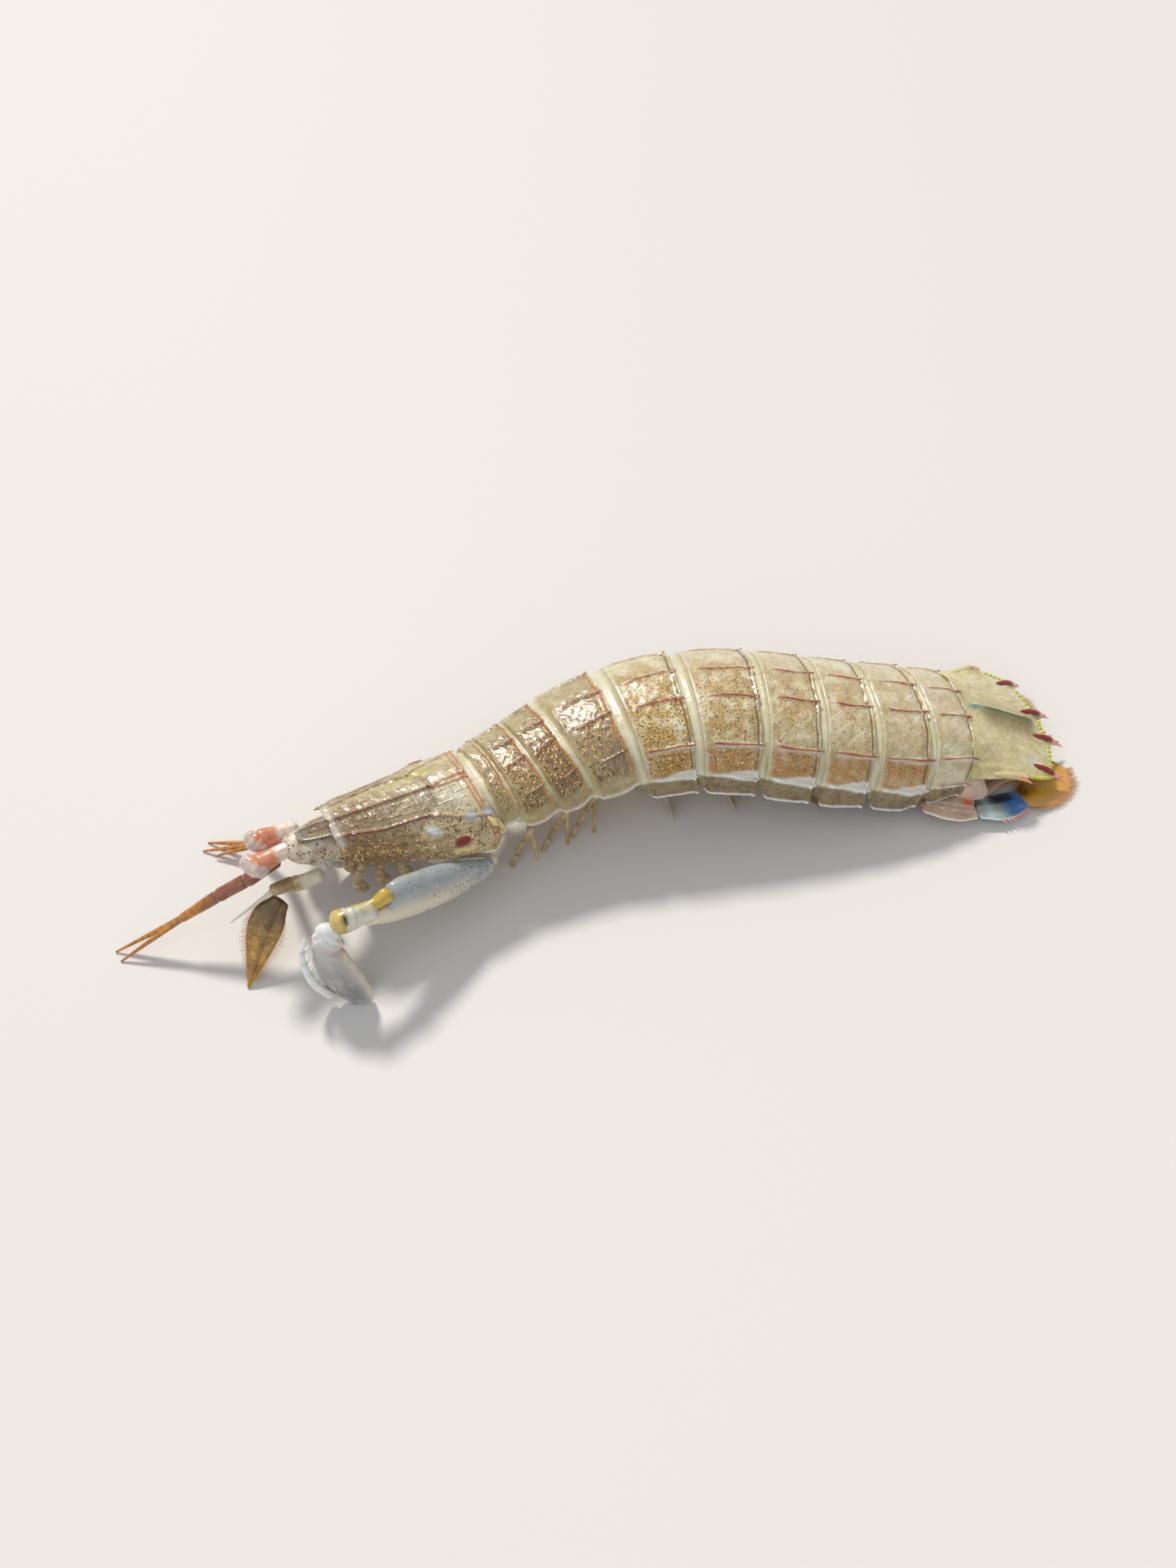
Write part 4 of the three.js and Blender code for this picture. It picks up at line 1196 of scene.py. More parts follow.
    def build(self) -> None:
        """Make the plate."""
        s, t = np.meshgrid(self.rows(), self.columns(), indexing="ij")
        across, belt = np.abs(t), 0 if self.lobe else 1
        arch = np.sin(math.pi * np.clip(s, 0, 1))
        angle = np.radians(90) * across * (self.reach - (1 - belt) * 0.1 * (1 - arch**0.6))
        at = self.along(s, t)
        half = GIRTH(at, 1)
        depth = GIRTH(at, 2) * (1 + 0.035 * arch * rise(across, 0.75, 1) if belt else 0.93)
        x = half * np.sin(angle) ** (2 / ROUNDNESS)
        z = depth * np.maximum(np.cos(angle), 0) ** (2 / ROUNDNESS)
        nx, nz = (x / half) ** 1.3 / half, (z / depth) ** 1.3 / depth
        size = np.hypot(nx, nz)
        ramp = rise(s, self.band + 0.05, self.band - 0.03) * (1 - belt * rise(across, 0.76, 0.86))
        height = -0.5 * np.maximum(ramp, rise(s, 0.08, 0.0)) - 0.1 * hump(s, self.band * 0.5, 0.03)
        height = height + 0.14 * hump(s, 0.985, 0.02) - 0.1 * hump(s, 0.93, 0.025)
        height = height + 0.09 * hump(s, self.band + 0.07, 0.03)
        lines, red, white = self.keel_lines(s, t, 1.45 * half)
        place = np.stack([at, x, z], -1)
        uneven = 0.06 * waver(place, 3.4, self.front) + 0.055 * waver(place, 1.3, 5 + self.front)
        height = height + lines + uneven * rise(s, self.band, self.band + 0.1)
        x = (x + nx / size * height) * np.sign(t)
        outside = BACK.beside(at, x, z + nz / size * height - depth)
        masks = self.colours(s, t, outside)
        # The painted highlight lines under the keels join the white mask
        masks.update(keel=red, white=np.maximum(white, masks["white"]))
        edge = np.minimum(rise(s, 1.0, 0.93), rise(across, 1.0, 0.96))
        shell = sheet(outside, 0.12 + (self.thickness - 0.12) * edge, masks, inward=1.0)
        make_piece(f"{self.node}_plate", Surface.together([shell, *self.hooks()]), self.finish, [self.node])


@dataclass(frozen=True)
class BodyPlates:
    """The ten plates behind the carapace.

    Attributes:
        submedian: place across of the keel beside the middle, 0 in the middle and 1 at the lower edge.
        middle: place across of the keel halfway down.
        side: place across of the keel over the flap.
    """

    submedian: float = 0.115
    middle: float = 0.525
    side: float = 0.8

    def plates(self) -> list[BackPlate]:
        """Plates from the front to the tail.

        Returns:
            The four of the front body, then the six of the abdomen.
        """
        red = Keel(self.submedian, self.submedian, 0.4, 0.22)
        side = Keel(0.53, 0.53, 0.45, 0.2, 0, 0.7)
        front = [
            BackPlate("thorax_5", 20.4, 23.65, (), Shell.FRONT, 0.5, 0.82, 0.8, True, 0.5, hooked=True),
            BackPlate("thorax_6", 23.65, 28.35, (red, side), Shell.FRONT, 0.2, 0.9, 0.95, True, 0.8),
            BackPlate("thorax_7", 28.35, 33.45, (red, side), Shell.FRONT, 0.22, 0.9, 1.0, True, 1.0),
            BackPlate("thorax_8", 33.45, 42.45, (red, side), Shell.FRONT, 0.18, 0.92, 0.9, True, 0.7),
        ]
        specks = (1.0, 0.85, 0.7, 0.6, 0.55, 0.45)
        rear = []
        for i, (start, end, speck) in enumerate(zip(ABDOMEN_EDGES, ABDOMEN_EDGES[1:], specks)):
            spine = 0.2 + 0.12 * i
            # The last number of the middle and the side keel is the strength of the painted highlight line
            # below it
            keels = (
                Keel(self.submedian, self.submedian, 0.32, 0.26, spine * 0.6),
                Keel(0.52, self.middle, 0.28, 0.3, spine, 1.0, 0.35),
                Keel(0.775, self.side + 0.02, 0.3, 0.42, spine, 0.1 if i < 5 else 0.9, 1.0),
            )
            rear.append(BackPlate(
                f"abdomen_{i + 1}", start, end, keels, Shell.ABDOMEN, 0.19 if i == 0 else 0.16, speck=speck,
                amber=0.15 if i == 5 else 1.0))
        return front + rear

    def build(self) -> None:
        """Make every plate."""
        for plate in self.plates():
            plate.build()


@dataclass(frozen=True)
class SoftBody:
    """The soft body under the shield and the plates, one skin from the head to the tail plate.

    Attributes:
        front: along its front part, its half width and the heights of its top, its middle and its floor.
        rings: places along the back where its belly is drawn in.
    """

    front: Track = Track((
        (-6.3, 0.9, -2.0, -2.8, -3.6), (-5.9, 1.5, -1.6, -2.9, -4.0), (-5, 2.3, -1.3, -3.0, -4.7),
        (-3, 2.9, -1.2, -3.3, -5.5), (-0.3, 2.9, -1.3, -3.6, -5.9), (1, 3.6, -1.3, -3.9, -6.4),
        (3, 4.2, -1.35, -4.2, -6.9), (6, 5.0, -1.35, -4.9, -7.6), (14, 6.8, -1.4, -6.3, -8.3),
        (17, 6.6, -1.5, -6.0, -8.3), (20.5, 5.5, -2.4, -4.9, -6.6), (24, 7.2, -1.0, -4.1, -5.6),
    ))
    rings: tuple[float, ...] = (20.4, 23.65, 28.35, 33.45, *ABDOMEN_EDGES[:-1])

    def build(self) -> None:
        """Make the soft body."""
        at, turn = np.meshgrid(
            np.linspace(-6.3, 98.9, 420), np.linspace(0, 2 * math.pi, 96, endpoint=False), indexing="ij")
        fold = sum(hump(at, ring, 0.5) for ring in self.rings)
        girth, depth = GIRTH(at, 1), GIRTH(at, 2)
        on_rings = rise(at, 23, 25)
        rear = (0.88 * girth - 1.0, -1.25 + 0 * at, -0.58 * depth, -0.735 * depth)
        half, top, middle, floor = (
            self.front(at, column) * (1 - on_rings) + rear[column - 1] * on_rings for column in (1, 2, 3, 4))
        cosine, sine = np.cos(turn), np.sin(turn)
        x = half * np.sign(cosine) * np.abs(cosine) ** 0.9
        above, below = top - middle, middle - floor
        rib = 1 - 0.16 * fold * on_rings * rise(-sine, 0.1, 0.6)
        up = middle + np.where(sine > 0, above * np.abs(sine) ** 0.9, -below * np.abs(sine) ** 0.6 * rib)
        # The skin is darkened in the folds between the rings: painted shade
        masks = {"crease": fold * on_rings, "pale": rise(at, 2, -1)}
        make_piece("soft_body", capped(BACK.beside(at, x, up), masks), Shell.SKIN, ["trunk", "head"])


@dataclass(frozen=True)
class Carapace:
    """The shield over the head and front body.

    Attributes:
        length: along its middle.
        spine: length of the spine at each front corner.
        lobe: how far the rear edge runs on at the sides.
        power: exponent of its fall to the sides.
        corner: place across of its corners.
    """

    length: float = 20.6
    spine: float = 0.7
    lobe: float = 1.2
    power: float = 2.4
    corner: float = 0.88

    def front_at(self, p: Array) -> Array:
        """Place of the front edge along the back, with a spine near each corner."""
        across = np.abs(p)
        return 0.5 * across**4 - self.spine * hump(across, self.corner, 0.035) - 0.25 * hump(p, 0, 0.25)

    def rear_at(self, p: Array) -> Array:
        """Place of the rear edge along the back, rounded off at its corners."""
        past = np.maximum(np.abs(p) - self.corner, 0) / (1 - self.corner)
        return self.length + self.lobe * np.abs(p) ** 2 - 1.6 * past**2

    @staticmethod
    def drawn(at: Array, p: Array, path: Sequence[tuple[float, float]], width: float) -> Array:
        """Mask of a drawn line.

        Args:
            at: places along the back.
            p: places across, signed.
            path: corners of the line as place along and place across.
            width: half the width of the line.

        Returns:
            1 on the line and 0 away from it.
        """
        half = CARAPACE(at, 1)
        x, best = p * half, np.full(at.shape, 1e9)
        for (a0, p0), (a1, p1) in zip(path, path[1:]):
            start = np.array([a0, p0 * float(CARAPACE(a0, 1))])
            way = np.array([a1, p1 * float(CARAPACE(a1, 1))]) - start
            part = np.clip(((at - start[0]) * way[0] + (x - start[1]) * way[1]) / (way @ way), 0, 1)
            best = np.minimum(best, np.hypot(at - start[0] - part * way[0], x - start[1] - part * way[1]))
        return hump(best, 0, width)

    def mirrored(self, at: Array, p: Array, path: Sequence[tuple[float, float]], width: float) -> Array:
        """Mask of a line drawn on both sides, as for drawn."""
        return sum(self.drawn(at, p, [(a, side * q) for a, q in path], width) for side in (-1, 1))

    def lines(self, at: Array, p: Array) -> dict[str, Array]:
        """Keels, grooves and scratches of the shield.

        Args:
            at: places along the back.
            p: places across, signed.

        Returns:
            A mask for each kind of line.
        """
        scratches = sum(
            self.drawn(at, p, ((2 + k % 3, k / 9 * 0.9), (11, k / 9 + 0.02), (19.5, k / 9 * 1.04)), 0.11)
            for k in (-8, -7, -6, -5, -3, -2, 1, 2, 3, 6, 7))
        level = np.stack([at, p * CARAPACE(at, 1), 0 * p], -1)
        steep = np.stack([at, 2.5 * p * CARAPACE(at, 1), 0 * p], -1)
        return {
            "median": self.drawn(at, p, ((-0.1, 0), (14.5, 0)), 0.3),
            "fork": self.mirrored(at, p, ((14.5, 0), (16.5, 0.05), (20, 0.045)), 0.22),
            "gastric": self.mirrored(at, p, ((0.5, 0.46), (6.3, 0.53), (12.8, 0.47)), 0.3),
            "branch": self.mirrored(at, p, ((12.8, 0.47), (16.5, 0.6), (20.8, 0.67)), 0.26),
            "edge": self.mirrored(at, p, ((2, 0.9), (11, 0.9), (20, 0.87)), 0.34),
            "groove": self.mirrored(at, p, ((15.4, 0), (14.9, 0.3), (12.6, 0.47), (10.6, 0.72)), 0.7),
            "hollow": self.mirrored(at, p, ((0.5, 0.66), (9.5, 0.7)), 1.0),
            "scratches": scratches * rise(waver(steep, 2.6, 7), -0.5, 0.6),
            "hatch": rise(np.sin(at * 9 + 2 * waver(level, 2.0)), 0.2, 0.9) * hump(p, 0.12, 0.2),
            "scar": hump(at + 4 * (np.abs(p) - 0.86), 15.9, 1.6) * hump(np.abs(p), 0.86, 0.075),
        }

    def colours(self, at: Array, p: Array, grid: Array, lines: dict[str, Array]) -> dict[str, Array]:
        """Masks of the shield's colours.

        Args:
            at: places along the back.
            p: places across, signed.
            grid: its points.
            lines: masks of its keels, grooves and scratches.

        Returns:
            The masks by name.
        """
        across = np.abs(p)
        behind, before = self.rear_at(p) - at, at - self.front_at(p)
        red = 0.95 * lines["median"] ** 2 + 0.9 * lines["gastric"] ** 2 + 0.6 * lines["branch"] ** 2
        red = red + 0.4 * lines["fork"] + 0.5 * lines["scratches"]
        pale = 0.4 * rise(behind, 0.5, 0.1) + 0.55 * lines["hatch"] * rise(at, 4, 7)
        # Painted highlights: the glints are white spots where the wet shield shines, at 12.6 and 17.5 along
        glint = 0.8 * hump(at, 12.6, 0.9) * hump(p, 0.68, 0.05)
        glint = glint + 0.4 * hump(at, 17.5, 1.6) * hump(p, 0.3, 0.1)
        bronze = 0.6 * rise(at, 13, 4) * rise(p, -0.6, -0.2) + 0.3 * rise(across, 0.5, 0.8) * rise(p, 0, 0.2)
        olive = self.drawn(at, p, ((6, -0.62), (16, -0.4)), 0.8)
        # Bluish spots; the second one, at 12.4 to 12.9 along, lies under the first glint and is a painted
        # bluish glare
        blue_spots_and_glare = (((18.0, 0.62), (18.4, 0.62), 0.55), ((12.4, 0.68), (12.9, 0.7), 0.5),
                   ((20.2, 0.62), (20.6, 0.64), 0.45))
        blue = sum(self.drawn(at, p, (start, end), size) for start, end, size in blue_spots_and_glare)
        rims = hump(behind, 0.5, 0.16) + hump(behind, 1.15, 0.14) + 0.6 * lines["fork"]
        return {
            "keel": np.clip(red, 0, 1),
            "margin": np.clip(rims, 0, 1),
            # band: the pale rear band and the hatching, and a pale patch of painted sheen round the rear
            # glint
            "band": pale + 0.6 * hump(at, 17.3, 1.8) * hump(p, 0.25, 0.3),
            "speck": (0.6 + 0.4 * rise(across, 0.3, 0.7)) * (0.5 + 0.5 * rise(p, -0.6, 0.2))
            * (0.8 + 0.3 * waver(grid, 4.0, 4)),
            "bronze": bronze,
            # dark: darker towards the sides at the front, and painted shade in the hollow along each side
            "dark": 0.8 * rise(across, 0.62, 0.85) * rise(at, 20, 10) + 0.4 * lines["hollow"],
            "grey": 0.9 * hump(p, 0.2, 0.3) * rise(at, 20, 12)
            + 0.8 * hump(at, 2.5, 1.6) * hump(across, 0.7, 0.12),
            # white: the painted highlights of the glints, and the real pale front edge
            "white": glint + 0.55 * hump(before, 0.5, 0.6) * rise(across, 0.75, 0.6),
            "olive": olive + 0.5 * self.drawn(at, p, ((2, -0.7), (15, -0.75)), 1.4),
            "blue": np.clip(blue, 0, 1),
            "rust": rise(lines["scar"], 0.5, 0.72),
            "cream": 0.8 * self.mirrored(at, p, ((17.4, 0.945), (14.6, 0.945)), 0.2),
        }

    def build(self) -> None:
        """Make the shield."""
        v = np.unique(np.concatenate([
            np.linspace(0, 1, 110), np.linspace(0, 0.05, 10), np.linspace(0.93, 1, 16)]))
        p = np.unique(np.concatenate([np.linspace(-1, 1, 241), np.linspace(-0.03, 0.03, 15)]))
        v, p = np.meshgrid(v, p, indexing="ij")
        across = np.abs(p)
        front, rear = self.front_at(p), self.rear_at(p)
        at = front + (rear - front) * v
        lines = self.lines(at, p)
        grid = BACK.beside(at, p * CARAPACE(at, 1), -CARAPACE(at, 2) * across**self.power)
        rim = hump(rear - at, 0.16, 0.2) + 0.8 * hump(rear - at, 1.25, 0.2)
        bulge = 0.25 * hump(across, 0.74, 0.16) * rise(at, 12, 16)
        heights = {
            "median": 0.26, "fork": 0.16, "gastric": 0.26, "branch": 0.16, "edge": 0.2, "hatch": 0.04,
            "scratches": 0.12, "groove": -0.22, "hollow": -0.2,
        }
        height = sum(size * lines[name] for name, size in heights.items())
        height = height + 0.25 * rise(lines["scar"], 0.3, 0.8) + 0.14 * rim + bulge - 0.1
        height = height - 0.22 * rise(at - front, 0.9, 0.0)
        height = height + 0.06 * waver(grid, 3.0) + 0.05 * waver(grid, 1.3, 2)
        normals = grid_normals(grid)
        upward = 1.0 if (normals @ UP).mean() > 0 else -1.0
        outside = grid + normals * upward * height[..., None]
        thickness = 0.14 + 0.42 * np.minimum(rise(v, 0, 0.04) * rise(v, 1, 0.97), rise(across, 1, 0.97))
        shield = sheet(outside, thickness, self.colours(at, p, grid, lines), inward=-upward)
        make_piece("carapace_shield", shield, Shell.FRONT, ["carapace"])


@dataclass(frozen=True)
class RostralPlate:
    """The small plate before the shield, over the eye stalks."""

    length: float = 4.7
    half: float = 1.9
    front: float = 0.3

    def build(self) -> None:
        """Make the plate."""
        u, v = np.meshgrid(np.linspace(0, 1, 40), np.linspace(-1, 1, 41), indexing="ij")
        half = self.half * (1 - 0.22 * u) * np.sqrt(np.maximum(1 - u**3.2, 0.03))
        height = 0.15 + 0.3 * hump(v, 0, 0.14) - 0.75 * v**2 - 0.45 * u**3 - 0.3 * rise(u, 0.14, 0.02)
        outside = BACK.beside(self.front - self.length * u, half * v, height)
        masks = {
            "keel": 0.7 * hump(v, 0, 0.09) + 0.5 * hump(np.abs(v), 0.55, 0.06) * rise(u, 0.9, 0.6),
            "grey": 0.5 + 0.4 * hump(v, 0.3, 0.3),
            "bronze": 0.7 * hump(np.abs(v), 0.5, 0.35) * rise(u, 0.95, 0.3),
            "speck": 0.65 + 0 * u,
            "white": 0.5 * np.maximum(rise(np.abs(v), 0.8, 0.97), rise(u, 0.85, 0.97)),
        }
        thickness = 0.12 + 0.5 * np.minimum(rise(u, 1, 0.85), rise(np.abs(v), 1, 0.85))
        plate = sheet(outside, thickness, masks, way=-BACK.axes(-2.0)[2])
        make_piece("rostral_plate_shell", plate, Shell.FRONT, ["rostral_plate"])


@dataclass(frozen=True)
class Eye:
    """A stalked eye, its two-lobed cornea set across the end of the stalk.

    Attributes:
        side: of the head.
        root: where the stalk leaves the head.
        neck: where the stalk meets the cornea.
        across: the way the cornea's two lobes lie.
        reach: distance between the middles of the two lobes.
    """

    side: Side
    root: Array
    neck: Array
    across: Array
    reach: float

    def build(self) -> None:
        """Make the stalk and the cornea."""
        axis, across = unit(self.neck - self.root), unit(self.across)
        stalk = Limb((self.root - axis * 1.9, (self.root + self.neck) / 2, self.neck + axis * 0.9),
                     (2.0, 2.2, 2.3, 2.7, 3.0), (1.9, 2.0, 2.0, 2.2, 2.4), across, sides=36, steps=36,
                     carve=lambda part, turn: 1 + 0.04 * np.sin(9 * turn) * rise(part, 0.6, 0.4))
        self.side.make("eye_stalk", stalk.surface({
            "pale": lambda part, turn: rise(part, 0.7, 0.35),
            "core": lambda part, turn: rise(part, 0.42, 0.62),
        }), Shell.STALK, "eyestalk")
        middle = self.neck + axis * 1.75
        ends = [middle + across * self.reach * k / 2 for k in (-1, 0, 1)]
        ball = Limb(ends, (2.2, 2.8, 2.7, 2.8, 2.1), (2.2, 2.6, 2.5, 2.6, 2.0), axis, sides=48, steps=48)
        masks = {
            "cap": lambda part, turn: np.clip(
                rise(np.cos(turn), -0.35, 0.25) + rise(np.abs(part - 0.5), 0.36, 0.5), 0, 1),
            "glow": lambda part, turn: hump(part, 0.4, 0.3) * rise(np.cos(turn), 0.5, -0.4),
        }
        self.side.make("eye_cornea", ball.surface(masks), Shell.CORNEA, "cornea")


@dataclass(frozen=True)
class Antennule:
    """The first feeler: a three-jointed stem that ends in three ringed whips."""

    side: Side
    stem: tuple[Array, ...]
    tips: tuple[Array, ...]
    joints: tuple[float, ...] = (0.3, 0.62)

    def narrow(self, part: Array, turn: Array) -> Array:
        """Narrowing of the stem at its joints."""
        return 1 - sum(
            0.14 * hump(part, joint, 0.015) - 0.06 * hump(part, joint - 0.05, 0.04) for joint in self.joints)

    def build(self) -> None:
        """Make the feeler."""
        across = spot(0, 1, 0)
        stem = Limb(self.stem, (1.6, 2.2, 2.1, 1.9, 1.4), (1.5, 1.9, 1.8, 1.6, 1.2), across, steps=90,
                    carve=self.narrow)
        masks = {
            "knuckle": lambda part, turn: sum(hump(part, joint, 0.012) for joint in self.joints),
            "edge": lambda part, turn: 0.8 * hump(np.cos(turn), 0.9, 0.3),
            "stripe": lambda part, turn: hump(np.cos(turn), 0.35, 0.2) * rise(part, 0.1, 0.3),
            "tip": lambda part, turn: 0.8 * rise(part, 0.5, 1.0),
        }
        pieces = [stem.surface(masks)]
        end = self.stem[-1]
        for tip in self.tips:
            whip = Limb((end - unit(tip - end) * 0.8, (end + tip) / 2, tip), (1.1, 0.9, 0.62, 0.3),
                        (0.95, 0.75, 0.55, 0.28), across, sides=12, steps=150,
                        carve=lambda part, turn: 1 + 0.07 * np.sin(part * 260))
            pieces.append(whip.surface({
                "tip": lambda part, turn: rise(part, 0, 0.12) * (0.8 + 0.2 * np.sin(part * 260))}))
        self.side.make("first_feeler", Surface.together(pieces), Shell.FEELER, "antennule")


@dataclass(frozen=True)
class Antenna:
    """The second feeler: a stem with one thin whip, and a fringed leaf beside it."""

    side: Side
    stem: tuple[Array, ...]
    whip: tuple[Array, ...]
    leaf: tuple[Array, ...]

    @staticmethod
    def stem_section(part: Array, turn: Array) -> Array:
        """Joint of the stem, and its three rounded ribs."""
        return 1 - 0.12 * hump(part, 0.55, 0.02) + 0.1 * np.sin(3 * turn + 7 * part)

    @staticmethod
    def leaf_section(part: Array, turn: Array) -> Array:
        """Thin leaf with a raised vein along each face."""
        return 1 + 0.5 * hump(np.cos(turn), 0.1, 0.16) * rise(np.abs(np.sin(turn)), 0.8, 1)

    def build(self) -> None:
        """Make the feeler, its leaf and the leaf's fringe."""
        stem = Limb(self.stem, (2.1, 2.6, 1.9), (1.8, 2.0, 1.5), UP, steps=50, carve=self.stem_section)
        sizes = (0.75, 0.55, 0.35, 0.2)
        lash = Limb((self.stem[-1], *self.whip), sizes, sizes, UP, sides=12, steps=110,
                    carve=lambda part, turn: 1 + 0.07 * np.sin(part * 200))
        masks = {
            "knuckle": lambda part, turn: hump(part, 0.7, 0.2),
            "pale": lambda part, turn: 0.7 * rise(part, 0.5, 0.3),
        }
        whole = Surface.together([stem.surface(masks), lash.surface({"pale": even(1)})])
        self.side.make("second_feeler", whole, Shell.LIMB, "antenna")
        leaf = Limb(self.leaf, (2.6, 4.6, 4.9, 4.1, 2.9, 1.6, 0.3), (1.0, 0.7, 0.55, 0.45, 0.4, 0.35, 0.3),
                    spot(1, 0, 0), sides=40, steps=60, carve=self.leaf_section)
        masks = {
            "vein": lambda part, turn: hump(np.cos(turn), 0.1, 0.12),
            "edge": lambda part, turn: 0.8 * rise(np.abs(np.cos(turn)), 0.9, 0.98),
            # Painted shade darkens the leaf towards its root
            "root": lambda part, turn: rise(part, 0.5, 0.1),
        }
        self.side.make("feeler_leaf", leaf.surface(masks), Shell.LEAF, "antennal_scale")
        hairs = Surface.together(Fringe.both_edges(leaf, 0.12, 0.9, (0.5, 1.1, 1.2, 0.9, 0.5)))
        make_piece(f"leaf_fringe_{self.side.word}", hairs, Shell.HAIR, each=True)


@dataclass(frozen=True)
class Claw:
    """The folding claw: arm with its short root, elbow, comb-edged blade and toothed finger.

    It holds places along each of them, and the ways that the broad faces of the arm and the blade run.
    """

    side: Side
    ischium: tuple[Array, ...]
    merus: tuple[Array, ...]
    carpus: tuple[Array, ...]
    propodus: tuple[Array, ...]
    dactylus: tuple[Array, ...]
    lean: Array
    broad: Array
    teeth: int = 5

    @staticmethod
    def arm_section(part: Array, turn: Array) -> Array:
        """Two lobes: the upper one ends early in a rounded shoulder, the lower one runs on to the elbow.

        Args:
            part: part of the arm's length.
            turn: angle round it.

        Returns:
            Factor on the section's size.
        """
        upper = rise(np.cos(turn), -0.15, 0.5)
        shoulder = 0.62 * rise(part, 0.8, 0.87) * upper - 0.1 * hump(part, 0.74, 0.09) * upper
        seam = 0.05 * hump(np.cos(turn), -0.12, 0.12) * rise(part, 0.15, 0.4)
        return 1 - shoulder - seam

    @staticmethod
    def elbow_section(part: Array, turn: Array) -> Array:
        """Rounded ribs of the elbow, and the crease before the blade."""
        return 1 + 0.06 * np.sin(3 * turn + 4 * part) - 0.05 * hump(part, 0.7, 0.04)

    @staticmethod
    def blade_section(part: Array, turn: Array) -> Array:
        """Knobbly head of the blade and a hollow along its middle.

        Args:
            part: part of the blade's length.
            turn: angle round it.

        Returns:
            Factor on the section's size.
        """
        knobs = 0.13 * np.sin(6 * turn) * np.sin(part * 62) * rise(part, 0.22, 0.1) * rise(part, -0.02, 0.05)
        neck = 0.2 * hump(part, 0.23, 0.035) * rise(-np.cos(turn), -0.3, 0.8)
        bulge = 0.2 * hump(part, 0.15, 0.05) * rise(-np.cos(turn), 0.2, 0.9)
        hollow = 0.1 * hump(np.cos(turn), 0.35, 0.2) * rise(part, 0.25, 0.4) * rise(part, 0.95, 0.8)
        return 1 + knobs + bulge - neck - hollow

    def build(self) -> None:
        """Make the four pieces of the claw."""
        self.build_arm()
        self.build_elbow()
        self.build_blade()
        self.build_finger()

    def build_arm(self) -> None:
        """Make the arm, blue above and cream below, with its short root."""
        arm = Limb(self.merus, (2.6, 4.4, 5.6, 6, 6, 5.2, 3.2), (2.2, 2.9, 3.2, 3.3, 3.1, 2.7, 2), self.lean,
                   sides=64, steps=90, power=2.2, carve=self.arm_section)
        base = Limb(self.ischium, (1.8, 2.2, 2.2), (1.8, 2, 2), UP, steps=40)
        masks = {
            "blue": lambda part, turn: rise(np.cos(turn), -0.25, 0.55) * rise(part, 0.95, 0.84),
            "cream": lambda part, turn: np.clip(
                0.9 * rise(np.cos(turn), 0.15, -0.45) * rise(part, 0.15, 0.5)
                + 0.9 * rise(part, 0.83, 0.9), 0, 1),
            "speck": lambda part, turn: np.clip(
                hump(np.cos(turn), -0.2, 0.4) * rise(part, 0.8, 0.45) + rise(part, 0.45, 0.1), 0, 1),
        }
        whole = Surface.together([arm.surface(masks), base.surface({"cream": even(0.7)})])
        self.side.make("claw_arm", whole, Shell.CLAW, "claw_merus")

    def build_elbow(self) -> None:
        """Make the elbow with the tendon that runs up to the arm."""
        wrist, hand = self.carpus[0], self.carpus[-1]
        way = unit(hand - wrist)
        elbow = Limb((wrist - way * 2.2, wrist, self.carpus[1], hand + way * 0.9), (3.0, 3.0, 3.2, 3.8, 3.9),
                     (2.3, 2.5, 2.8, 3.1, 3.0), UP, sides=40, steps=48, carve=self.elbow_section)
        tendon = Limb((wrist - way * 4.4 + self.lean * 1.5, wrist - way * 2.8 + self.lean * 0.85,
                       wrist - way * 1.2 + self.lean * 0.85, wrist + way * 0.4 + self.lean * 1.1),
                      (2.2, 1.7, 1.5, 1.2), (1.9, 1.5, 1.3, 0.8), self.lean, sides=24, steps=40)
        masks = {
            "pale": lambda part, turn: 1 - 0.85 * rise(part, 0.76, 0.88)
            - 0.5 * hump(np.cos(turn), 1, 0.25) * rise(part, 0.5, 0.3),
            "dark": lambda part, turn: 0.5 * hump(part, 0.93, 0.04),
            "spot": lambda part, turn: hump(part, 0.84, 0.07) * hump(np.cos(turn + math.pi / 4), 1, 0.12),
        }
        whole = Surface.together([
            elbow.surface(masks), tendon.surface({"dark": lambda part, turn: 0.3 * part})])
        self.side.make("claw_elbow", whole, Shell.JOINT, "claw_carpus")

    def build_blade(self) -> None:
        """Make the blade with the fine comb of its edge."""
        blade = Limb(self.propodus, (2.9, 3.9, 4.7, 5.3, 5.5, 5.0, 3.2), (2.3, 2.6, 2.4, 2.2, 2, 1.7, 1.2),
                     self.broad, sides=72, steps=110, carve=self.blade_section)
        masks = {
            "white": lambda part, turn: 0.75 * rise(part, 0.22, 0.06),
            "pink": lambda part, turn: 0.9 * hump(part, 0.2, 0.07) * rise(-np.cos(turn), -0.4, 0.6),
            "shade": lambda part, turn: 0.95 * rise(part, 0.2, 0.7) * rise(np.cos(turn), -0.95, -0.2),
            "cream": lambda part, turn: 0.6 * rise(np.cos(turn), -0.6, -0.95),
            "rust": lambda part, turn: 0.5 * hump(part, 0.27, 0.05) * rise(np.cos(turn), 0.4, 0.9),
        }
        parts = [blade.surface(masks)]
        size = (0.4, 0.3, 0.08)
        for place, way in zip(*blade.edge(1, 0.28, 0.93)):
            line = (place - way * 0.3, place + way * 0.05, place + way * 0.38)
            tooth = Limb(line, size, size, self.lean, sides=8, steps=6, rounded=False)
            parts.append(tooth.surface({"white": even(0.9)}))
        self.side.make("claw_blade", Surface.together(parts), Shell.CLAW, "claw_propodus")

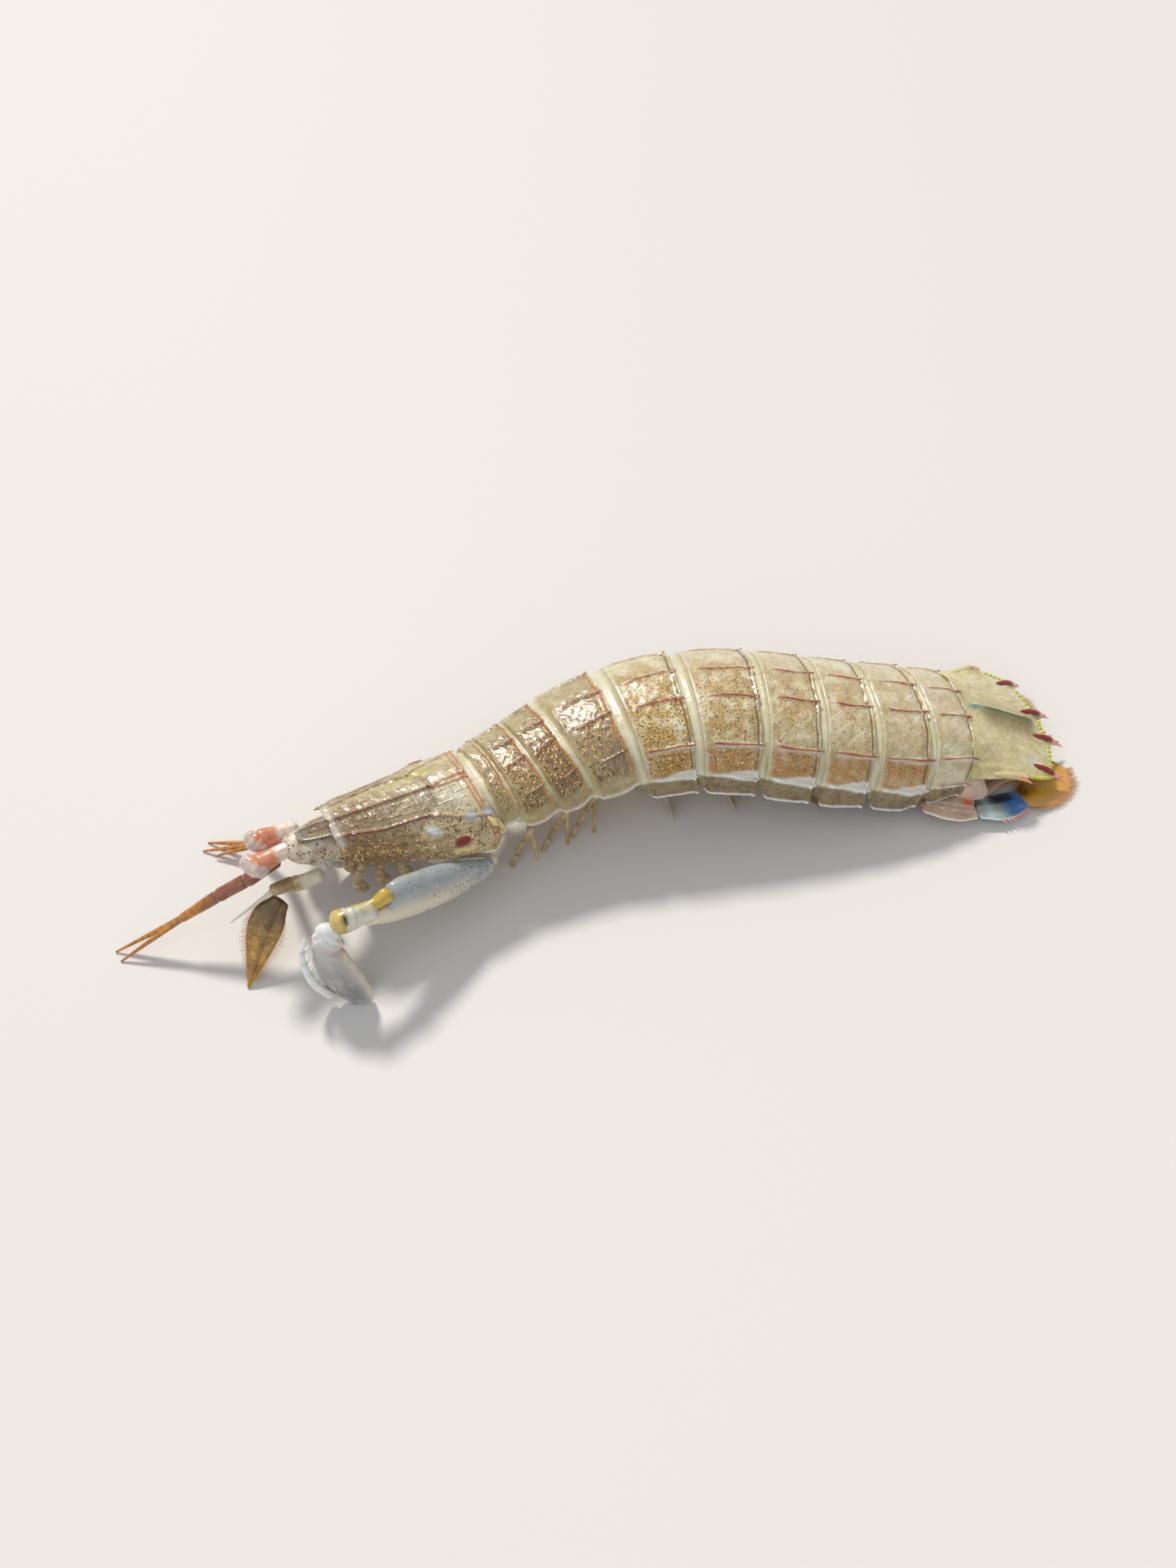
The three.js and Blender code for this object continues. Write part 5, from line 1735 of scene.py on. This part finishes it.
    def build_finger(self) -> None:
        """Make the finger with its curved teeth."""
        finger = Limb(self.dactylus, (1.5, 1.35, 1.15, 0.95, 0.7, 0.3), (1.3, 1.1, 0.9, 0.75, 0.55, 0.25),
                      self.broad, sides=24, steps=70, power=2.2)
        line = smooth_line(self.dactylus, 101)
        along = unit(np.gradient(line, axis=0))
        inward = unit((line[0] + line[-1]) / 2 - line[50])
        parts = [finger.surface({"white": lambda part, turn: 0.75 + 0.25 * part})]
        for i in range(1, self.teeth + 1):
            root, forward = line[16 * i], along[16 * i]
            places = (root, root + inward * 0.65 + forward * 0.2, root + inward * 0.95 + forward * 0.8)
            tooth = Limb(places, (0.85, 0.5, 0.1), (0.7, 0.42, 0.1), self.broad, sides=12, steps=16)
            parts.append(tooth.surface({"white": even(1)}))
        self.side.make("claw_finger", Surface.together(parts), Shell.CLAW, "claw_dactylus")


@dataclass(frozen=True)
class SmallLimbs:
    """Mouth limbs, walking legs and swimming limbs of one side."""

    side: Side

    def build(self) -> None:
        """Make every small limb."""
        for number in (3, 4, 5):
            self.build_maxilliped(number)
        for number in (1, 2, 3):
            self.build_leg(number)
        for number in range(1, 6):
            self.build_pleopod(number)

    @staticmethod
    def joints(*places: float) -> Mask:
        """Shape of a jointed limb: narrow at these parts of its length and swollen before them."""
        return lambda part, turn: 1 - sum(
            0.28 * hump(part, place, 0.022) - 0.12 * hump(part, place - 0.06, 0.04) for place in places)

    @staticmethod
    def knuckles(*places: float) -> dict[str, Mask]:
        """Masks of a jointed limb, dark at its joints and pale past them.

        Args:
            places: the parts of its length where the joints lie.

        Returns:
            The masks by name.
        """
        return {
            "knuckle": lambda part, turn: sum(hump(part, place, 0.02) for place in places),
            "pale": lambda part, turn: 0.3 * sum(hump(part, place + 0.04, 0.03) for place in places),
        }

    def build_maxilliped(self, number: int) -> None:
        """Make one small folded mouth limb.

        Args:
            number: of the limb, counted as biologists do, from 3 to 5.
        """
        at, left = 4.4 + (number - 3) * 3.2, self.side.value * 1.7
        bends = ((0, 0.8, -float(CARAPACE(at, 3)) - 1.3), (-1.2, 1.05, -10.6), (-1.6, 1.15, -12.4),
                 (-0.7, 1.1, -14.4))
        places = [BACK.beside(at + forward, left * share, up) for forward, share, up in bends]
        arm = Limb(places, (1.1, 1.2, 1.1, 1.3, 1.9, 1.5), (1, 1.1, 1, 1.1, 1.4, 1.1), BACK.axes(at)[0],
                   steps=60, carve=self.joints(0.3, 0.62))
        whole = arm.surface(self.knuckles(0.3, 0.62))
        self.side.make(f"mouth_limb_{number}", whole, Shell.LIMB, f"maxilliped_{number}")

    def build_leg(self, number: int) -> None:
        """Make one walking leg with the thin rod beside it.

        Args:
            number: of the leg, from 1 to 3.
        """
        at, side = 26 + (number - 1) * 5.2, self.side.value
        belly = float(GIRTH(at, 2)) * 0.7 + 1.1
        knee = BACK.beside(at - 0.4, side * 6.8, -belly - 2.2)
        foot, rod_end = BACK.beside(at - 2.6, side * 6, 0), BACK.beside(at + 0.2, side * 8.6, 0)
        foot[2], rod_end[2] = 0.1, 2.6
        tail = BACK.axes(at)[0]
        leg = Limb((BACK.beside(at, side * 3.6, -belly), knee, knee + (foot - knee) * 0.45, foot),
                   (1.5, 1.4, 1.2, 1.1, 1, 0.9), (1.4, 1.2, 1, 0.9, 0.8, 0.8), tail, steps=80,
                   carve=self.joints(0.3, 0.55, 0.8))
        rod = Limb((knee, (knee + rod_end) / 2, rod_end), (0.8, 0.6), (0.7, 0.5), tail, sides=16, steps=40)
        whole = Surface.together([leg.surface(self.knuckles(0.3, 0.55, 0.8)), rod.surface()])
        self.side.make(f"walking_limb_{number}", whole, Shell.LIMB, f"walking_leg_{number}")

    def build_pleopod(self, number: int) -> None:
        """Make one swimming limb: a stem with two fringed leaves that lean back to the floor.

        Args:
            number: of the limb, from 1 to 5.
        """
        at, side = ABDOMEN_EDGES[number - 1] + 5, self.side.value
        tail, left, _ = BACK.axes(at)
        root = BACK.beside(at, side * 4.4, -float(GIRTH(at, 2)) * 0.7 - 0.9)
        fall = root[2]
        run = math.sqrt(max(13.2**2 - fall**2, 1))
        rearward = unit(tail * np.array([1, 1, 0]))
        leaves, hairs = [], []
        for start, spread_out, length, wide in ((0.1, -1.5, 0.9, 3.6), (0, 1.7, 1, 4.4)):
            places = [root + rearward * run * part + left * side * spread_out * share - UP * fall * part
                      for part, share in ((start, 0.3), (0.5, 1), (length, 1.25))]
            widths = (2, wide * 0.75, wide, wide * 0.95, wide * 0.5)
            leaf = Limb(places, widths, (1.3, 0.9, 0.55, 0.45, 0.35), left, sides=32, steps=50,
                        carve=lambda part, turn: 1 - 0.2 * hump(part, 0.28, 0.03))
            leaves.append(leaf.surface(self.knuckles(0.28)))
            hairs += Fringe.both_edges(leaf, 0.35, 0.97, (0.9, 1.6, 1.5), spacing=0.18, girth=0.1)
        self.side.make(f"swimming_limb_{number}", Surface.together(leaves), Shell.LIMB, f"pleopod_{number}")
        make_piece(f"swimming_fringe_{number}_{self.side.word}", Surface.together(hairs), Shell.PALE_HAIR,
                   each=True)


@dataclass(frozen=True)
class Telson:
    """The tail plate with its middle crest, six spined teeth and beaded bays.

    Attributes:
        half: half its width.
        length: from its front edge to the bays between the teeth.
        corners: of one half's edge, across and along, as shares of those two.
        beaded: the straight parts of the edge that carry beads.
        bead_gap: between two beads.
        teeth: tip and root of each tooth's keel, across and along.
    """

    half: float = 11.5
    length: float = 16.3
    corners: tuple[tuple[float, float], ...] = (
        (0, 1), (0.12, 1.04), (0.25, 1.165), (0.32, 1.02), (0.54, 0.97), (0.7, 0.955), (0.845, 1.035),
        (0.87, 0.88), (0.91, 0.74), (0.93, 0.62), (1, 0.545), (0.97, 0.4), (0.955, 0.2), (0.94, 0.03),
        (0.75, -0.03), (0.35, -0.03), (0, -0.03),
    )
    beaded: tuple[int, ...] = (0, 3, 4, 7, 8)
    bead_gap: float = 0.9
    teeth: tuple[tuple[float, float, float, float], ...] = (
        (0.25, 1.165, 0.225, 0.93), (0.845, 1.035, 0.76, 0.8), (1.0, 0.545, 0.93, 0.34),
    )

    def sides(self) -> list[tuple[Array, Array, int]]:
        """Straight parts of one half's edge.

        Returns:
            The start, the end and the number of beads of each.
        """
        corners = np.array(self.corners) * (self.half, self.length)
        found = []
        for i, (start, end) in enumerate(zip(corners, corners[1:])):
            beads = round(float(np.linalg.norm(end - start)) / self.bead_gap)
            found.append((start, end, beads if i in self.beaded else 0))
        return found

    def outline(self) -> Array:
        """Edge all the way round, with a bulge at each bead.

        Returns:
            Places across and along, in millimetres.
        """
        places = []
        for start, end, beads in self.sides():
            way = end - start
            size = float(np.linalg.norm(way))
            part = np.linspace(0, 1, max(int(size / 0.11), 4), endpoint=False)[:, None]
            bulge = 0.25 * np.abs(np.sin(math.pi * part * beads)) ** 0.7
            places.append(start + way * part + np.array([way[1], -way[0]]) / size * -bulge)
        half = np.vstack([*places, end[None]])
        return np.vstack([half, (half[1:-1] * (-1, 1))[::-1]])

    def dome(self, x: Array, y: Array) -> Array:
        """Height of the smooth plate, which droops at its front corners."""
        across, along = np.abs(x) / self.half, y / self.length
        return -1.5 * across**2 - 0.3 * along**3 - 3.4 * rise(across, 0.5, 1.05) * rise(along, 0.6, -0.05)

    def place(self, x: Array, y: Array, height: Array) -> Array:
        """Places in space of points of the plate.

        Args:
            x: places across.
            y: places along.
            height: over the plate.

        Returns:
            The points.
        """
        tail, left, up = BACK.heading(TAIL_YAW, -26, -4)
        x, y, height = (np.asarray(a, float)[..., None] for a in (x, y, height))
        return BACK.point(TELSON_START) + x * left + y * tail + height * up

    def keels(self, x: Array, y: Array) -> Array:
        """Mask of the teeth's keels.

        Args:
            x: places across.
            y: places along.

        Returns:
            How much of a keel lies at each place.
        """
        size = np.array([self.half, self.length])
        found = np.zeros_like(x)
        for x1, y1, x0, y0 in self.teeth:
            start, way = size * (x0, y0), size * (x1 - x0, y1 - y0)
            part = ((np.abs(x) - start[0]) * way[0] + (y - start[1]) * way[1]) / (way @ way)
            near = np.clip(part, 0, 1)
            off = np.hypot(np.abs(x) - start[0] - near * way[0], y - start[1] - near * way[1])
            found = np.maximum(found, hump(off, 0, 0.7) * rise(part, -0.3, 0.15))
        return found

    def build(self) -> None:
        """Make the plate with its spines and beads."""
        edge = self.outline()
        scale = np.concatenate([1 - np.linspace(0, 0.12, 12), np.linspace(0.86, 0.02, 50)])[:, None]
        middle = np.array([0, self.length / 2])
        flat = middle + (edge - middle)[None] * scale[..., None]
        x, y = flat[..., 0], flat[..., 1]
        across, along = np.abs(x) / self.half, y / self.length
        keels, crest = self.keels(x, y), hump(x, 0, 0.7) * rise(along, 0.04, 0.2) * rise(along, 1.0, 0.78)
        side_crest = hump(across, 0.93 - 0.1 * hump(along, 0.2, 0.3), 0.035) * rise(along, 0.5, 0.4)
        swirl = np.hypot(x, (y - 14) * 0.8)
        breaks = rise(np.sin(4 * np.arctan2(x, y - 14) * swirl / 3), -0.2, 0.7)
        pits = hump(np.sin(3.4 * swirl), 1, 0.25) * breaks
        pits = pits * rise(np.abs(x), 0.9, 1.8) * rise(scale, 0.85, 0.7)
        flat = np.stack([x, y, 0 * x], -1)
        uneven = 0.05 * waver(flat, 6) + 0.03 * waver(flat, 2, 1)
        above = self.dome(x, y) + 0.85 * crest + 0.5 * keels + 0.25 * side_crest - 0.06 * pits + uneven
        belly = hump(x, 0, 4) * hump(along, 0.2, 0.25) * (1 - scale**4)
        below = self.dome(x, y) - 0.3 - 1.35 * (1 - scale**3) - 1.2 * belly
        grid = np.vstack([self.place(x, y, above)[::-1], self.place(x, y, below)])
        marks = {
            "wine": keels * rise(keels, 0.35, 0.7) * rise(across, 0.1, 0.2) * rise(along, 0.6, 0.7),
            "lime": 0.55 * rise(scale, 0.9, 1.0) * rise(along, 0.5, 0.8)
            + 0.6 * hump(along, 0.02, 0.04) * hump(across, 0.8, 0.15),
            # dark: a faint brown on both sides of the crest, and on its left side the crest's painted shade
            "dark": 0.95 * hump(x, 1.6, 1.9) * rise(along, 0.1, 0.35) * rise(along, 1.0, 0.8)
            + 0.3 * hump(x, -1.4, 1.3),
            # crest: the crest's painted shadow line
            "crest": hump(x, 0, 0.42) * rise(along, 0.14, 0.26) * rise(along, 0.97, 0.85),
            "teal": hump(x, 0, 0.5) * hump(along, 0.11, 0.07),
            "ice": 0.7 * hump(across, 0.68, 0.08) * hump(along, 0.72, 0.07),
            # pit: painted shade in the pits
            "pit": 0.35 * pits,
            "speck": 0.7 + 0 * x,
        }
        marks = {name: np.vstack([mask[::-1], mask]) for name, mask in marks.items()}
        whole = Surface.together([capped(grid, marks), *self.spines(), *self.beads()])
        make_piece("tail_plate", whole, Shell.TAIL, ["telson"])

    def spines(self) -> list[Surface]:
        """Wine-red spines with pink points, one along each tooth's keel.

        Returns:
            Their surfaces.
        """
        parts = []
        for x1, y1, x0, y0 in self.teeth:
            straw = float(y1 < 0.6)
            masks = {
                "wine": lambda part, turn: rise(part, 0.64, 0.5) * (
                    1 - straw * rise(np.sin(turn), 0.93, 0.8)),
                "pink": lambda part, turn: rise(part, 0.52, 0.66),
            }
            for sign in (-1, 1):
                size = np.array([self.half * sign, self.length])
                root, tip = size * (x0, y0), size * (x1, y1)
                way = unit(tip - root)
                ends = ((root - way * 1.9, -0.25), (root, 0.12), ((root + tip) / 2, 0.3), (tip, 0.1),
                        (tip + way * 1.3, 0))
                line = [self.place(x, y, self.dome(x, y) + lift) for (x, y), lift in ends]
                spine = Limb(line, (0.3, 0.9, 1.25, 1.3, 1.0, 0.65, 0.12),
                             (0.3, 0.7, 1.0, 1.0, 0.8, 0.5, 0.12), BACK.axes(ABDOMEN_EDGES[-1])[1],
                             sides=24, steps=48)
                parts.append(spine.surface(masks))
        return parts

    def beads(self) -> list[Surface]:
        """Yellow-green beads along the bays.

        Returns:
            Their surfaces.
        """
        parts = []
        way = self.place(0, 1, 0) - self.place(0, 0, 0)
        for start, end, beads in self.sides():
            for part in (np.arange(beads) + 0.5) / max(beads, 1):
                for sign in (-1, 1):
                    x, y = (start + (end - start) * part) * (sign, 1)
                    middle = self.place(x, y, self.dome(x, y) - 0.1)
                    line = (middle - way * 0.2, middle + way * 0.2, middle + way * 0.6)
                    bead = Limb(line, (0.62, 0.66, 0.16), (0.55, 0.6, 0.16), UP, sides=10, steps=8)
                    parts.append(bead.surface({"lime": even(1)}))
        return parts


@dataclass(frozen=True)
class Uropod:
    """One side of the tail fan."""

    side: Side

    def fan(self, along: float, across: float, height: float) -> Array:
        """A place of the fan, level beside the tail plate.

        Args:
            along: place towards the rear.
            across: place outwards from the middle.
            height: over the floor.

        Returns:
            The point.
        """
        tail, left, _ = BACK.heading(TAIL_YAW, 0, 0)
        point = BACK.point(ABDOMEN_EDGES[-1]) + tail * (along - 1.6) + left * self.side.value * across
        point[2] = height
        return point

    def limb(self, places: Sequence[tuple[float, float, float]], widths: Sequence[float],
             heights: Sequence[float], **sizes: float) -> Limb:
        """A flat part of the fan, from places along it as for fan, and its widths and heights."""
        level = BACK.heading(TAIL_YAW, 0, 0)[1] * self.side.value
        return Limb([self.fan(*place) for place in places], widths, heights, level, **sizes)

    def build(self) -> None:
        """Make the stem with its fork and inner leaf, the outer blade, and the fringe of both."""
        inner = self.limb(((0.4, 10.6, 1.7), (4.4, 7.6, 1.2), (9, 5.6, 0.9), (14, 5.2, 0.6)),
                          (1.4, 2.8, 4.2, 4.6, 3.0), (0.9, 0.6, 0.5, 0.45, 0.35), sides=48, steps=60)
        paddle = self.limb(((9.2, 11.4, 0.9), (13.4, 9.8, 0.6), (18.2, 4.8, 0.3)), (3.0, 5.6, 7.2, 7.2, 4.0),
                           (0.6, 0.5, 0.45, 0.4, 0.3), sides=56, steps=60)
        self.build_stem(inner)
        self.build_blade(paddle)
        hairs = Fringe.both_edges(paddle, 0.1, 1.0, (1.1, 1.7, 1.9, 1.5), spacing=0.12, girth=0.1)
        hairs += Fringe.both_edges(inner, 0.4, 1.0, (0.7, 1.2, 1.1))
        make_piece(f"fan_fringe_{self.side.word}", Surface.together(hairs), Shell.HAIR, each=True)

    def build_stem(self, inner: Limb) -> None:
        """Make the stem with its root, its fork and the inner leaf.

        Args:
            inner: the leaf.
        """
        stem = self.limb(((-6.8, 11.9, 3.0), (-3, 12.3, 2.5), (0.8, 12.2, 1.9)), (2.4, 4.6, 5.6, 5.0),
                         (1.0, 1.3, 1.3, 1.1), sides=48, steps=60, power=2.2)
        fork = self.limb(((0.6, 12.0, 1.7), (4, 9.8, 1.5), (8, 7.6, 1.2), (12, 6.6, 0.9)),
                         (1.8, 1.7, 1.5, 1.0, 0.2), (1.1, 1, 0.9, 0.7, 0.2), sides=24, steps=50)
        side = self.side.value
        inside = BACK.beside(96.5, side * 6.5, -5.2)
        line = [inside, (inside + self.fan(1.5, 10.6, 2.6)) / 2 + UP * 0.3, self.fan(3.0, 11.0, 2.0)]
        root = Limb(line, (4.4, 5.4, 5.8, 5.0, 3.0), (3.0, 2.9, 2.4, 1.5, 0.6),
                    BACK.heading(TAIL_YAW, 0, 0)[0], sides=32, steps=40)
        masks = {
            "rust": lambda part, turn: hump(part, 0.9, 0.1) * hump(np.cos(turn), -0.1, 0.4),
            # white: painted highlights, a line along the outer edge and two curved lines across the stem
            "white": lambda part, turn: np.clip(
                0.8 * rise(np.cos(turn), 0.9, 0.98) + 0.6 * hump(np.cos(turn) - 0.7 * part, -0.45, 0.07)
                + 0.5 * hump(np.cos(turn) - 0.5 * part, 0.1, 0.05), 0, 1),
        }
        parts = [
            root.surface({"white": lambda part, turn: 0.2 * rise(np.sin(turn) * side, 0, 1)}),
            stem.surface(masks),
            fork.surface({"rust": lambda part, turn: 0.8 * rise(part, 0.75, 1.0)}),
            inner.surface({"amber": lambda part, turn: 0.8 * rise(part, 0.3, 0.6)}),
        ]
        self.side.make("fan_stem", Surface.together(parts), Shell.FAN, "uropod_stem")

    def build_blade(self, paddle: Limb) -> None:
        """Make the outer blade: a segment with a row of spines, and the paddle past it.

        Args:
            paddle: the amber part.
        """
        segment = self.limb(((1.8, 12.9, 1.8), (5.6, 12.8, 1.4), (9.4, 11.7, 1.0)), (3.6, 4.8, 4.8, 3.8),
                            (1.2, 1.1, 1.0, 0.8), sides=56, steps=60, power=2.3)
        parts = [
            segment.surface({
                "teal": lambda part, turn: rise(part, 0.75, 0.4),
                "blue": lambda part, turn: rise(part, 0.3, 0.65) * rise(np.cos(turn), 0.97, 0.8),
                "navy": lambda part, turn: rise(np.cos(turn), 0.0, -0.3) * rise(part, 0.95, 0.75),
                "ice": lambda part, turn: 0.9 * rise(np.cos(turn), 0.86, 0.97)
                + 0.35 * hump(part, 0.16, 0.12),
            }),
            paddle.surface({
                "amber": lambda part, turn: 0.75 + 0.25 * rise(np.abs(np.cos(turn)), 1.0, 0.86),
                "umber": lambda part, turn: rise(part, 0.4, 0.1) * rise(np.cos(turn), 0.3, -0.3),
                "peach": lambda part, turn: 0.9 * rise(np.cos(turn), 0.25, 0.75),
                "pink": lambda part, turn: 0.4 * rise(np.abs(np.cos(turn)), 0.9, 0.98),
            }),
        ]
        masks = {"pink": even(0.6), "rust": lambda part, turn: 0.4 * part}
        edge, outward = segment.edge(1, 0.3, 1.0)
        for place, way in zip(edge[4::5], outward[4::5]):
            line = (place - way * 0.2, place + way * 0.3, place + way * 0.8)
            spine = Limb(line, (0.45, 0.38, 0.1), (0.36, 0.3, 0.1), UP, sides=10, steps=14)
            parts.append(spine.surface(masks))
        self.side.make("fan_blade", Surface.together(parts), Shell.FAN, "uropod_blade")


def spots(*places: tuple[float, float, float]) -> tuple[Array, ...]:
    """Several points, in millimetres over the floor."""
    return tuple(spot(*place) for place in places)


def head_pieces() -> list[RostralPlate | Eye | Antennule | Antenna | Claw]:
    """The pieces of the head and the claws, placed as in the photo.

    Returns:
        The pieces, not built yet.
    """
    left, right = Side.LEFT, Side.RIGHT
    claw_joints = (
        ((13, -3, -10.8), (17, -5, -11), (20.3, -6.6, -10.9)),
        ((20.6, -7.2, -11), (16, -7.5, -10.5), (10, -7.3, -9.9), (5.4, -6.9, -9.6), (3.2, -6.7, -9.5)),
        ((1.4, -6.1, -9.5), (0.5, -6, -9.7), (-0.3, -5.7, -10)),
        ((-0.8, -5, -12.8), (2, -5, -14), (5.4, -5, -15), (8.8, -5.1, -15.6), (12, -5.2, -16.3)),
        ((12.6, -6.9, -15.6), (10.4, -7.7, -14.6), (7.5, -7.8, -14.1), (4.8, -7.7, -13.8),
         (2.6, -7.5, -13.7)),
    )
    hidden_claw = [tuple(BACK.beside(*place) for place in places) for places in claw_joints]
    return [
        RostralPlate(),
        Eye(left, *spots((-40.9, -19.3, 16.6), (-42.1, -20.2, 16.6), (0.87, -0.4, -0.3)), 2.3),
        Eye(right, *spots((-41.1, -16.1, 17), (-42.3, -16.8, 17.1), (-0.75, 0.3, 0.6)), 1.9),
        Antennule(
            left, spots((-42, -18.2, 13.2), (-45.1, -19.6, 12), (-50.3, -20.7, 9), (-55.5, -22.2, 6)),
            spots((-64.9, -25.6, 0.15), (-66, -24.1, 0.2), (-63.8, -23.6, 1.2))),
        Antennule(
            right, spots((-42.2, -15, 13.3), (-43.6, -12.2, 10.2), (-45.4, -9.2, 6.2), (-48.2, -7.6, 3.4)),
            spots((-57.6, -6.6, 0.2), (-57.2, -5, 0.15), (-55.4, -7.8, 0.6))),
        Antenna(
            left, spots((-36.4, -19, 11.3), (-39.4, -19.9, 10.9), (-42.3, -20.8, 10.6)),
            spots((-45.5, -22, 8.4), (-48.6, -23.3, 6.4)),
            spots((-41.9, -21.2, 8.4), (-43.4, -22.9, 7), (-44.3, -24.6, 5.4), (-45.2, -27, 3.2),
                  (-46.4, -29.7, 0.2))),
        Antenna(
            right, spots((-38.9, -14.3, 12.1), (-40.3, -13, 11.2), (-41.1, -11.4, 10.2)),
            spots((-42.2, -8.8, 9.2), (-43, -6, 7.6)),
            spots((-41.1, -10.9, 8.5), (-40.8, -9.4, 7), (-40.4, -7.9, 5.2), (-40.1, -6.4, 2.8),
                  (-39.8, -4.8, 0.2))),
        Claw(
            left, (BACK.beside(13, 3.4, -10.6), BACK.beside(17.5, 6.4, -10.4), spot(-13.6, -13.2, 7)),
            spots((-14.2, -14.1, 6.9), (-17.7, -17.2, 8.6), (-22.9, -21.5, 11), (-26.8, -24.7, 12.4),
                  (-28.9, -26.3, 12.9)),
            spots((-30.2, -27.1, 13.6), (-30.7, -27.4, 13.7), (-31.2, -27.6, 13.7)),
            spots((-33.6, -28.8, 13.1), (-33.8, -29.7, 11), (-33.3, -30.6, 7.8), (-32.2, -31.3, 4.6),
                  (-30.5, -31.8, 0.45)),
            spots((-34.6, -31.9, 2.1), (-36, -31.9, 4.4), (-36.9, -31.4, 7), (-37.2, -30.5, 9.6),
                  (-36.6, -29.5, 11.9)), spot(0, 0.5, 0.87), spot(-1, 0, 0)),
        Claw(right, *hidden_claw, UP, UP),
    ]


@dataclass(frozen=True)
class Lamp:
    """A soft lamp, far off, that is so many degrees wide in the sky."""

    name: str
    way: tuple[float, float, float]
    width: float
    power: float
    colour: str

    def build(self, target: Vector) -> None:
        """Make the lamp.

        Args:
            target: the place that it lights.
        """
        data = bpy.data.lights.new(self.name, "SUN")
        data.angle = math.radians(self.width)
        data.energy = self.power
        data.color = linear(self.colour)[:3]
        lamp = bpy.data.objects.new(self.name, data)
        lamp.location = target + Vector(self.way) * 0.4
        lamp.rotation_euler = Vector(self.way).to_track_quat("Z", "Y").to_euler()
        bpy.context.scene.collection.objects.link(lamp)


@dataclass(frozen=True)
class Studio:
    """The photo's camera and what it looks at, a plain pale floor and soft light."""

    target: tuple[float, float, float] = (-4.5, 2.0, 8.0)
    elevation: float = 50.0
    distance: float = 168.0
    lens: float = 26.0
    reach: float = 40_000.0
    lamps: tuple[Lamp, ...] = (
        Lamp("key", (-0.35, 0.75, 1.0), 9, 2.6, "#fff8ee"),
        Lamp("fill", (-0.5, -1.0, 0.9), 60, 0.75, "#eef3ff"),
    )

    def build(self) -> None:
        """Set the studio up."""
        self.build_floor()
        self.build_camera()
        for lamp in self.lamps:
            lamp.build(Vector(self.target) * MM)
        world = bpy.data.worlds.new("studio")
        world.use_nodes = True
        world.node_tree.nodes["Background"].inputs["Color"].default_value = linear("#f2f3f5")
        world.node_tree.nodes["Background"].inputs["Strength"].default_value = 0.5
        bpy.context.scene.world = world
        bpy.context.scene.view_settings.view_transform = "Standard"

    def build_floor(self) -> None:
        """Make the floor, painted a matt pale grey that gives soft shadows."""
        floor_mesh = bpy.data.meshes.new("floor")
        reach = self.reach * MM
        corners = [(-reach, -reach, 0), (reach, -reach, 0), (reach, reach, 0), (-reach, reach, 0)]
        floor_mesh.from_pydata(corners, [], [(0, 1, 2, 3)])
        floor = bpy.data.objects.new("floor", floor_mesh)
        bpy.context.scene.collection.objects.link(floor)
        paint = bpy.data.materials.new("floor_paint")
        paint.use_nodes = True
        paint.node_tree.nodes.clear()
        matt = add_node(paint.node_tree, "ShaderNodeBsdfPrincipled", {
            "Base Color": linear("#dad8d4"), "Roughness": 0.7})
        add_node(paint.node_tree, "ShaderNodeOutputMaterial", {"Surface": matt.outputs[0]})
        floor_mesh.materials.append(paint)
        floor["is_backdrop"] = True

    def build_camera(self) -> None:
        """Set the camera as it stood for the photo."""
        data = bpy.data.cameras.new("camera")
        data.sensor_fit = "VERTICAL"
        data.sensor_height = 36.0
        data.lens = self.lens
        data.clip_start = 0.01
        camera = bpy.data.objects.new("camera", data)
        elevation = math.radians(self.elevation)
        way = Vector((0, math.cos(elevation), -math.sin(elevation)))
        camera.location = Vector(self.target) * MM - self.distance * MM * way
        camera.rotation_euler = (math.radians(90) - elevation, 0, 0)
        bpy.context.scene.collection.objects.link(camera)
        bpy.context.scene.camera = camera


def main() -> None:
    """Build the model and its studio."""
    logging.basicConfig(level=logging.INFO, format="%(message)s")
    Studio().build()
    Carapace().build()
    BodyPlates().build()
    SoftBody().build()
    for piece in head_pieces():
        piece.build()
    Telson().build()
    for side in Side:
        Uropod(side).build()
        SmallLimbs(side).build()
    {"cad": [list(c) for c in CAD_BOX], "visual": [list(c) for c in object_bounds()]}


if __name__ == "__main__":
    main()
